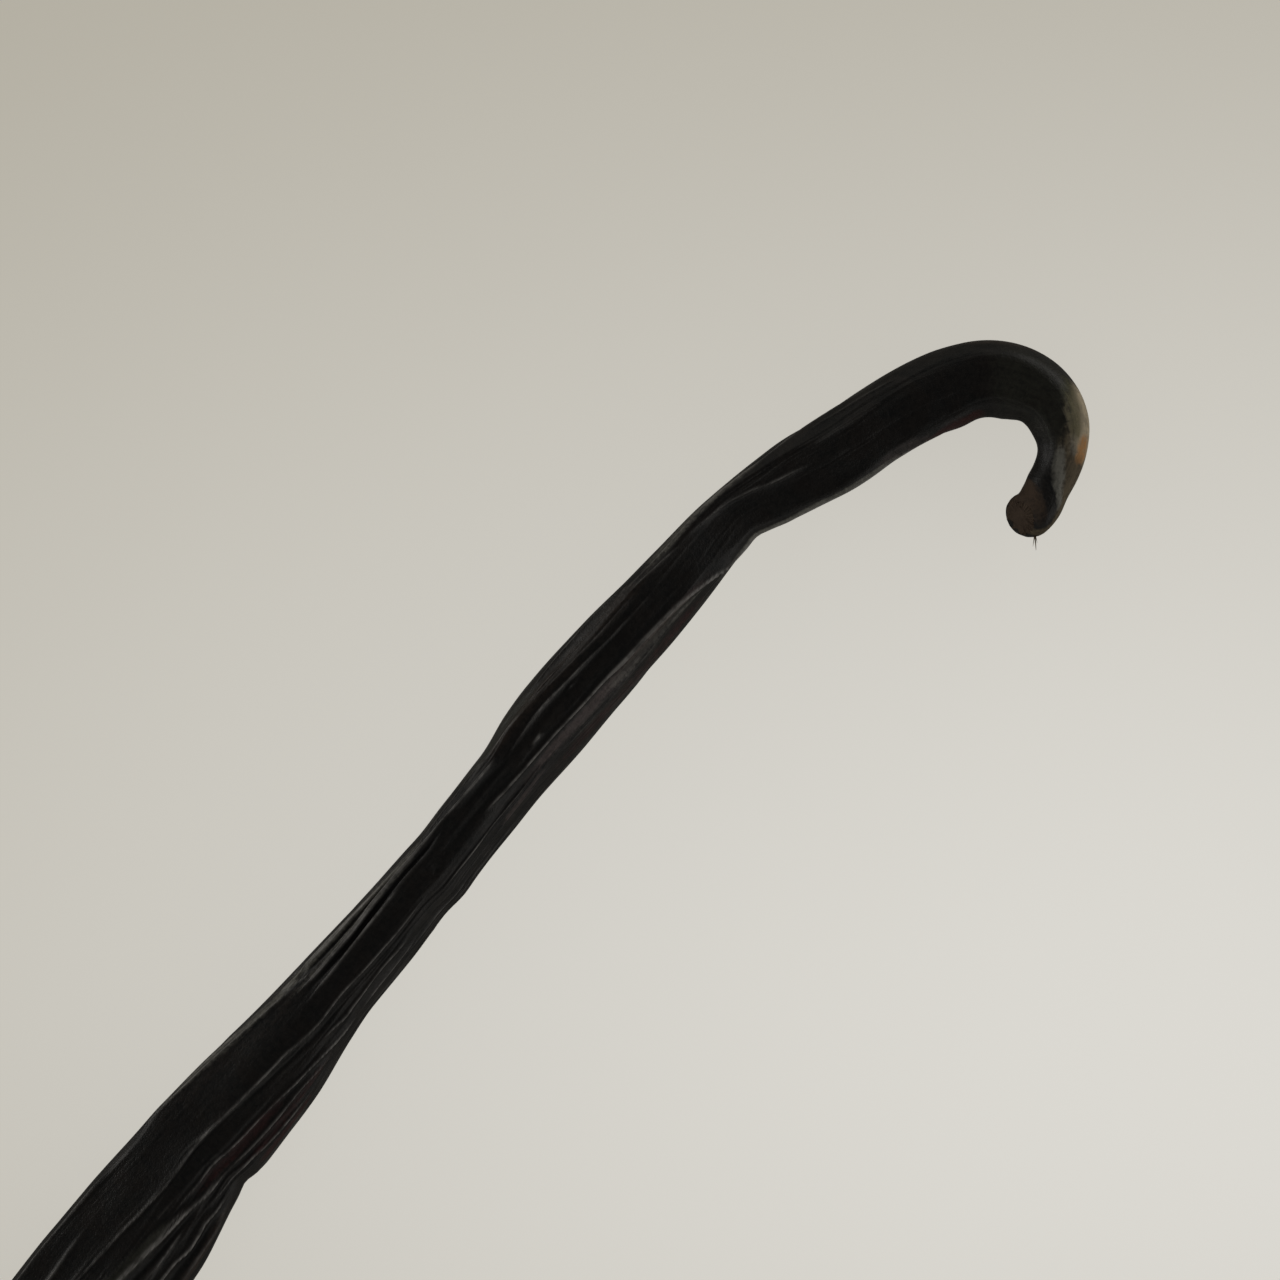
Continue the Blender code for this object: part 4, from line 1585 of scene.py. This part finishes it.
@dataclass
class StemEnd:
    """The cut end of the stem: its brown face, and the fibres that stick out of it.

    Attributes:
        rim: The skin's first ring, in millimetres.
        collar: A ring of the skin a little further on.
        middles: How many rings the face has.
        face_share: How much of the rim's width the face fills.
        dome: How far the face's middle stands out, in millimetres.
        tear: How ragged the face's outer part is, in millimetres.
        clods: How many lumps the face has.
        clod_width: A lump's width, as a share of the face's.
        strands: How many short fibres there are.
        wisps: Length, lean out of the face and radius of each hair of the wisp.
        seed: The seed of the random draws.
    """

    rim: Array
    collar: Array
    middles: int = 16
    face_share: float = 0.985
    dome: float = 0.30
    tear: float = 0.035
    clods: int = 26
    clod_width: float = 0.17
    strands: int = 34
    wisps: Keys = ((1.35, 0.30, 0.07), (1.1, 0.62, 0.045), (0.8, 0.05, 0.04))
    seed: int = 12

    def __post_init__(self) -> None:
        """Finds the face's middle and the way it looks."""
        self.middle, self.facing = rim_facing(self.rim)

    def face(self, material: Material) -> Piece:
        """Builds the cut face as a closed plug with a fibrous top.

        Args:
            material: The face's material.

        Returns:
            The piece.
        """
        rng = np.random.default_rng(self.seed)
        sides, out = len(self.rim), self.rim - self.middle
        shares = np.linspace(1.0, 0.04, self.middles)
        turn = np.linspace(0.0, 2 * math.pi, sides, endpoint=False)
        ragged = sum(
            rng.uniform(0.3, 1.0) * np.sin(lobes * turn + rng.uniform(0, 6.28))
            for lobes in (3, 5, 9, 14, 23)
        )
        clods = [
            (rng.uniform(0, 6.28), rng.uniform(0.1, 0.9), rng.uniform(-0.06, 0.07))
            for _ in range(self.clods)
        ]
        foot_share, foot_depth, sunk = 0.9, 0.5, 0.02
        rings = [self.middle + foot_share * out - foot_depth * self.facing]
        for share in shares:
            lumps = np.zeros(sides)
            for place, inward, height in clods:
                aside = share * np.cos(turn) - inward * np.cos(place)
                above = share * np.sin(turn) - inward * np.sin(place)
                lumps += height * np.exp(-((np.hypot(aside, above) / self.clod_width) ** 2))
            lift = self.dome * (1 - share**2) - sunk
            lift = lift + self.tear * ragged * ease((share - 0.3) / 0.5)
            lift = lift + lumps * ease((1.0 - share) / 0.15)
            rings.append(self.middle + share * self.face_share * out + lift[:, None] * self.facing)
        points, faces = closed_tube(np.stack(rings), turned=True)
        bleach = np.concatenate([np.zeros(sides), np.repeat(0.2 + 0.5 * shares**3, sides), [0.0, 0.2]])
        values = {"bleach": bleach, "skin_place": points}
        return mesh_piece("stem_cut", points, faces, material, values)

    def fibres(self, material: Material) -> Piece:
        """Builds the short torn fibres round the cut face.

        Args:
            material: The fibres' material.

        Returns:
            The piece.
        """
        rng = np.random.default_rng(self.seed + 1)
        made = []
        for _ in range(self.strands):
            spot = self.rim[rng.integers(len(self.rim))]
            inward = rng.uniform(0.12, 0.75) ** 0.6
            root = spot + (self.middle - spot) * (1 - inward) - 0.25 * self.facing
            splay = (spot - self.middle) / np.linalg.norm(spot - self.middle)
            way = self.facing + rng.uniform(-0.1, 0.35) * splay + rng.normal(0.0, 0.12, 3)
            length, radius = rng.uniform(0.3, 0.62), rng.uniform(0.05, 0.12)
            made.append(Strand(root, way, length, radius, rng.normal(0.0, 0.08, 3)))
        return strand_piece("stem_fibres", made, material, (0.0, 1.0))

    def wisp(self, material: Material) -> Piece:
        """Builds the pale hair-thin wisp that hangs on at the cut's outer edge.

        Args:
            material: The wisp's material.

        Returns:
            The piece.
        """
        outer = self.collar[len(self.collar) // 20]
        splay = outer - self.collar.mean(axis=0)
        splay[2] = 0.0
        splay /= np.linalg.norm(splay)
        root = outer - 0.3 * splay
        curl = 0.05 * self.facing + np.array([0.0, 0.0, 0.1])
        made = [
            Strand(root, splay + lean * self.facing, length, radius, curl, rings=12)
            for length, lean, radius in self.wisps
        ]
        return strand_piece("stem_wisp", made, material, (0.5, 1.0))


@dataclass
class BlossomEnd:
    """The withered scar at the blossom end.

    Attributes:
        rim: The skin's last ring, in millimetres.
        sides: How many points a ring of the scar has.
        profile: The scar's radius, and how far it stands out, from its foot to its middle.
        squash: Its height as a share of its width.
        seed: The seed of the random draws.
    """

    rim: Array
    sides: int = 48
    profile: Keys = (
        (0.62, -0.55), (0.60, -0.15), (0.56, 0.12), (0.50, 0.30), (0.42, 0.36), (0.33, 0.30),
        (0.22, 0.14), (0.10, 0.08),
    )
    squash: float = 0.8
    seed: int = 23

    def build(self, material: Material) -> Piece:
        """Builds the scar: a small crimped cup of dried tissue.

        Args:
            material: The scar's material.

        Returns:
            The piece.
        """
        rng = np.random.default_rng(self.seed)
        middle, inward = rim_facing(self.rim)
        facing = -inward
        side = (self.rim[0] - middle) / np.linalg.norm(self.rim[0] - middle)
        turn = np.linspace(0.0, 2 * math.pi, self.sides, endpoint=False)
        around = np.cos(turn)[:, None] * side
        around = around + self.squash * np.sin(turn)[:, None] * np.cross(facing, side)
        crimp = 1 + 0.12 * np.sin(6 * turn + rng.uniform(0, 6))
        crimp = crimp + 0.06 * np.sin(11 * turn + rng.uniform(0, 6))
        rings = []
        for radius, lift in self.profile:
            frill = lift * (1 + 0.25 * np.sin(5 * turn + 1.0) * (lift > 0))
            rings.append(middle + (radius * crimp)[:, None] * around + frill[:, None] * facing)
        points, faces = closed_tube(np.stack(rings), turned=True)
        lifts = np.repeat([max(0.0, lift) for _, lift in self.profile], self.sides)
        values = {"bleach": np.concatenate([lifts * 2.0, [0.0, 0.2]]), "skin_place": points}
        return mesh_piece("blossom_scar", points, faces, material, values)


# ---- The studio ----


@dataclass(frozen=True)
class SoftLight:
    """A large soft light aimed at the pod.

    Attributes:
        name: The light's name.
        azimuth: Where it stands round the pod, in degrees from +X.
        elevation: How high it stands, in degrees.
        distance: How far off it is, in metres.
        size: Its width and height, in metres.
        power: Its power in watts.
        colour: Its colour.
    """

    name: str
    azimuth: float
    elevation: float
    distance: float
    size: Range
    power: float
    colour: Colour

    def build(self, target: Vector) -> Piece:
        """Builds the light.

        Args:
            target: The point it is aimed at, in metres.

        Returns:
            The light.
        """
        data = bpy.data.lights.new(self.name, "AREA")
        data.shape = "RECTANGLE"
        data.size, data.size_y = self.size
        data.energy = self.power
        data.color = self.colour
        light = bpy.data.objects.new(self.name, data)
        turn, rise = math.radians(self.azimuth), math.radians(self.elevation)
        flat = math.cos(rise)
        away = Vector((math.cos(turn) * flat, math.sin(turn) * flat, math.sin(rise)))
        light.location = target + away * self.distance
        light.rotation_euler = (-away).to_track_quat("-Z", "Y").to_euler()
        bpy.context.scene.collection.objects.link(light)
        return light


@dataclass
class Studio:
    """The pale floor, the soft light and the camera.

    Attributes:
        view_turn: How far the camera is turned about the vertical, in degrees.
        view_width: How much of the table the camera takes in, in millimetres.
        view_middle: The point the camera looks at, in millimetres from the box's middle.
        view_level: The height that the view's width is measured at, in metres.
        lens: The camera's focal length, in millimetres.
        sensor: The camera's sensor width, in millimetres.
        floor_size: The floor's width, in metres.
        floor_drop: How far the floor lies under the pod's flats, in metres.
        walls: The colour of the room's dim walls.
        ceiling: The colour of its darker ceiling.
        lights: The window and the soft boxes that stand low at the sides.
    """

    view_turn: float = -51.57
    view_width: float = 100.0
    view_middle: Range = (38.4, 6.1)
    view_level: float = 0.0025
    lens: float = 85.0
    sensor: float = 36.0
    floor_size: float = 4.0
    floor_drop: float = 0.00004
    walls: Colour = (0.24, 0.235, 0.22)
    ceiling: Colour = (0.05, 0.05, 0.049)
    lights: tuple[SoftLight, ...] = (
        SoftLight("window", -72.0, 14.0, 1.3, (1.5, 0.5), 0.9, (1.0, 0.99, 0.98)),
        SoftLight("far_wall", 118.0, 7.0, 1.4, (1.4, 0.4), 3.0, (1.0, 0.98, 0.94)),
        SoftLight("end_window", -8.0, 16.0, 1.2, (1.0, 0.5), 1.1, (1.0, 0.98, 0.95)),
    )

    def build_camera(self) -> Piece:
        """Builds the camera, which looks straight down at the stem's half of the pod.

        Returns:
            The camera.
        """
        data = bpy.data.cameras.new("camera")
        data.lens = self.lens
        data.sensor_width = self.sensor
        data.clip_start, data.clip_end = 0.01, 20.0
        camera = bpy.data.objects.new("camera", data)
        low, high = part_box(NODE)
        middle = (Vector(low) + Vector(high)) / 2
        right, up = (place * MM for place in self.view_middle)
        rise = self.view_level + self.view_width * MM * self.lens / self.sensor
        camera.location = (middle.x + right, middle.y + up, rise)
        camera.rotation_euler = (0.0, 0.0, math.radians(self.view_turn))
        bpy.context.scene.collection.objects.link(camera)
        bpy.context.scene.camera = camera
        return camera

    def build_floor(self, material: Material) -> Piece:
        """Builds the floor, a hair under the pod's flats.

        Args:
            material: The floor's material.

        Returns:
            The floor.
        """
        half = self.floor_size / 2
        outline = ((-half, -half), (half, -half), (half, half), (-half, half))
        mesh = bpy.data.meshes.new("floor")
        mesh.from_pydata([(x, y, -self.floor_drop) for x, y in outline], [], [(0, 1, 2, 3)])
        mesh.materials.append(material)
        floor = bpy.data.objects.new("floor", mesh)
        bpy.context.scene.collection.objects.link(floor)
        return floor

    def build_lights(self) -> None:
        """Builds the soft boxes, and the room's own light: dim walls and a darker ceiling."""
        target = Vector((self.view_middle[0] * MM, self.view_middle[1] * MM, 0.0))
        for light in self.lights:
            light.build(target)
        world = bpy.data.worlds.new("room")
        bpy.context.scene.world = world
        world.use_nodes = True
        sheet = NodeSheet(world.node_tree)
        direction = sheet.add("ShaderNodeTexCoord").outputs["Generated"]
        height = sheet.add("ShaderNodeSeparateXYZ", {"Vector": direction}).outputs["Z"]
        colour = sheet.blend(sheet.remap(height, (0.25, 0.75)), self.walls, self.ceiling)
        background = world.node_tree.nodes["Background"]
        sheet.join(colour, background.inputs["Color"])
        background.inputs["Strength"].default_value = 1.0


def write_sizes() -> None:
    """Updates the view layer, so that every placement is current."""
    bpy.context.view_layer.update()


def main() -> None:
    """Builds the pod, its finish and the studio, and reports each piece."""
    logging.basicConfig(level=logging.INFO, format="%(name)s: %(message)s")
    studio = Studio()
    studio.build_camera()
    groups = SharedGroups()
    skin = PodSkin(PodForm())
    pieces = [skin.build(SkinFinish().material(groups))]
    cut_finish = FibreFinish("cut_fibre", paint(92, 75, 61), paint(112, 94, 77)).material(groups)
    straw_finish = FibreFinish("straw_fibre", paint(112, 88, 62), paint(196, 180, 150)).material(groups)
    scar_finish = FibreFinish("dried_scar", paint(34, 24, 18), paint(84, 66, 48)).material(groups)
    stem = StemEnd(skin.stem_ring, skin.collar_ring)
    pieces += [stem.face(cut_finish), stem.fibres(cut_finish), stem.wisp(straw_finish)]
    pieces.append(BlossomEnd(skin.tip_ring).build(scar_finish))
    studio.build_floor(PaperFinish().material(groups))
    studio.build_lights()
    bpy.context.scene.view_settings.view_transform = "Standard"
    for piece in pieces:
        LOG.info("%s: %d faces", piece.name, len(piece.data.polygons))
    write_sizes()


if __name__ == "__main__":
    main()
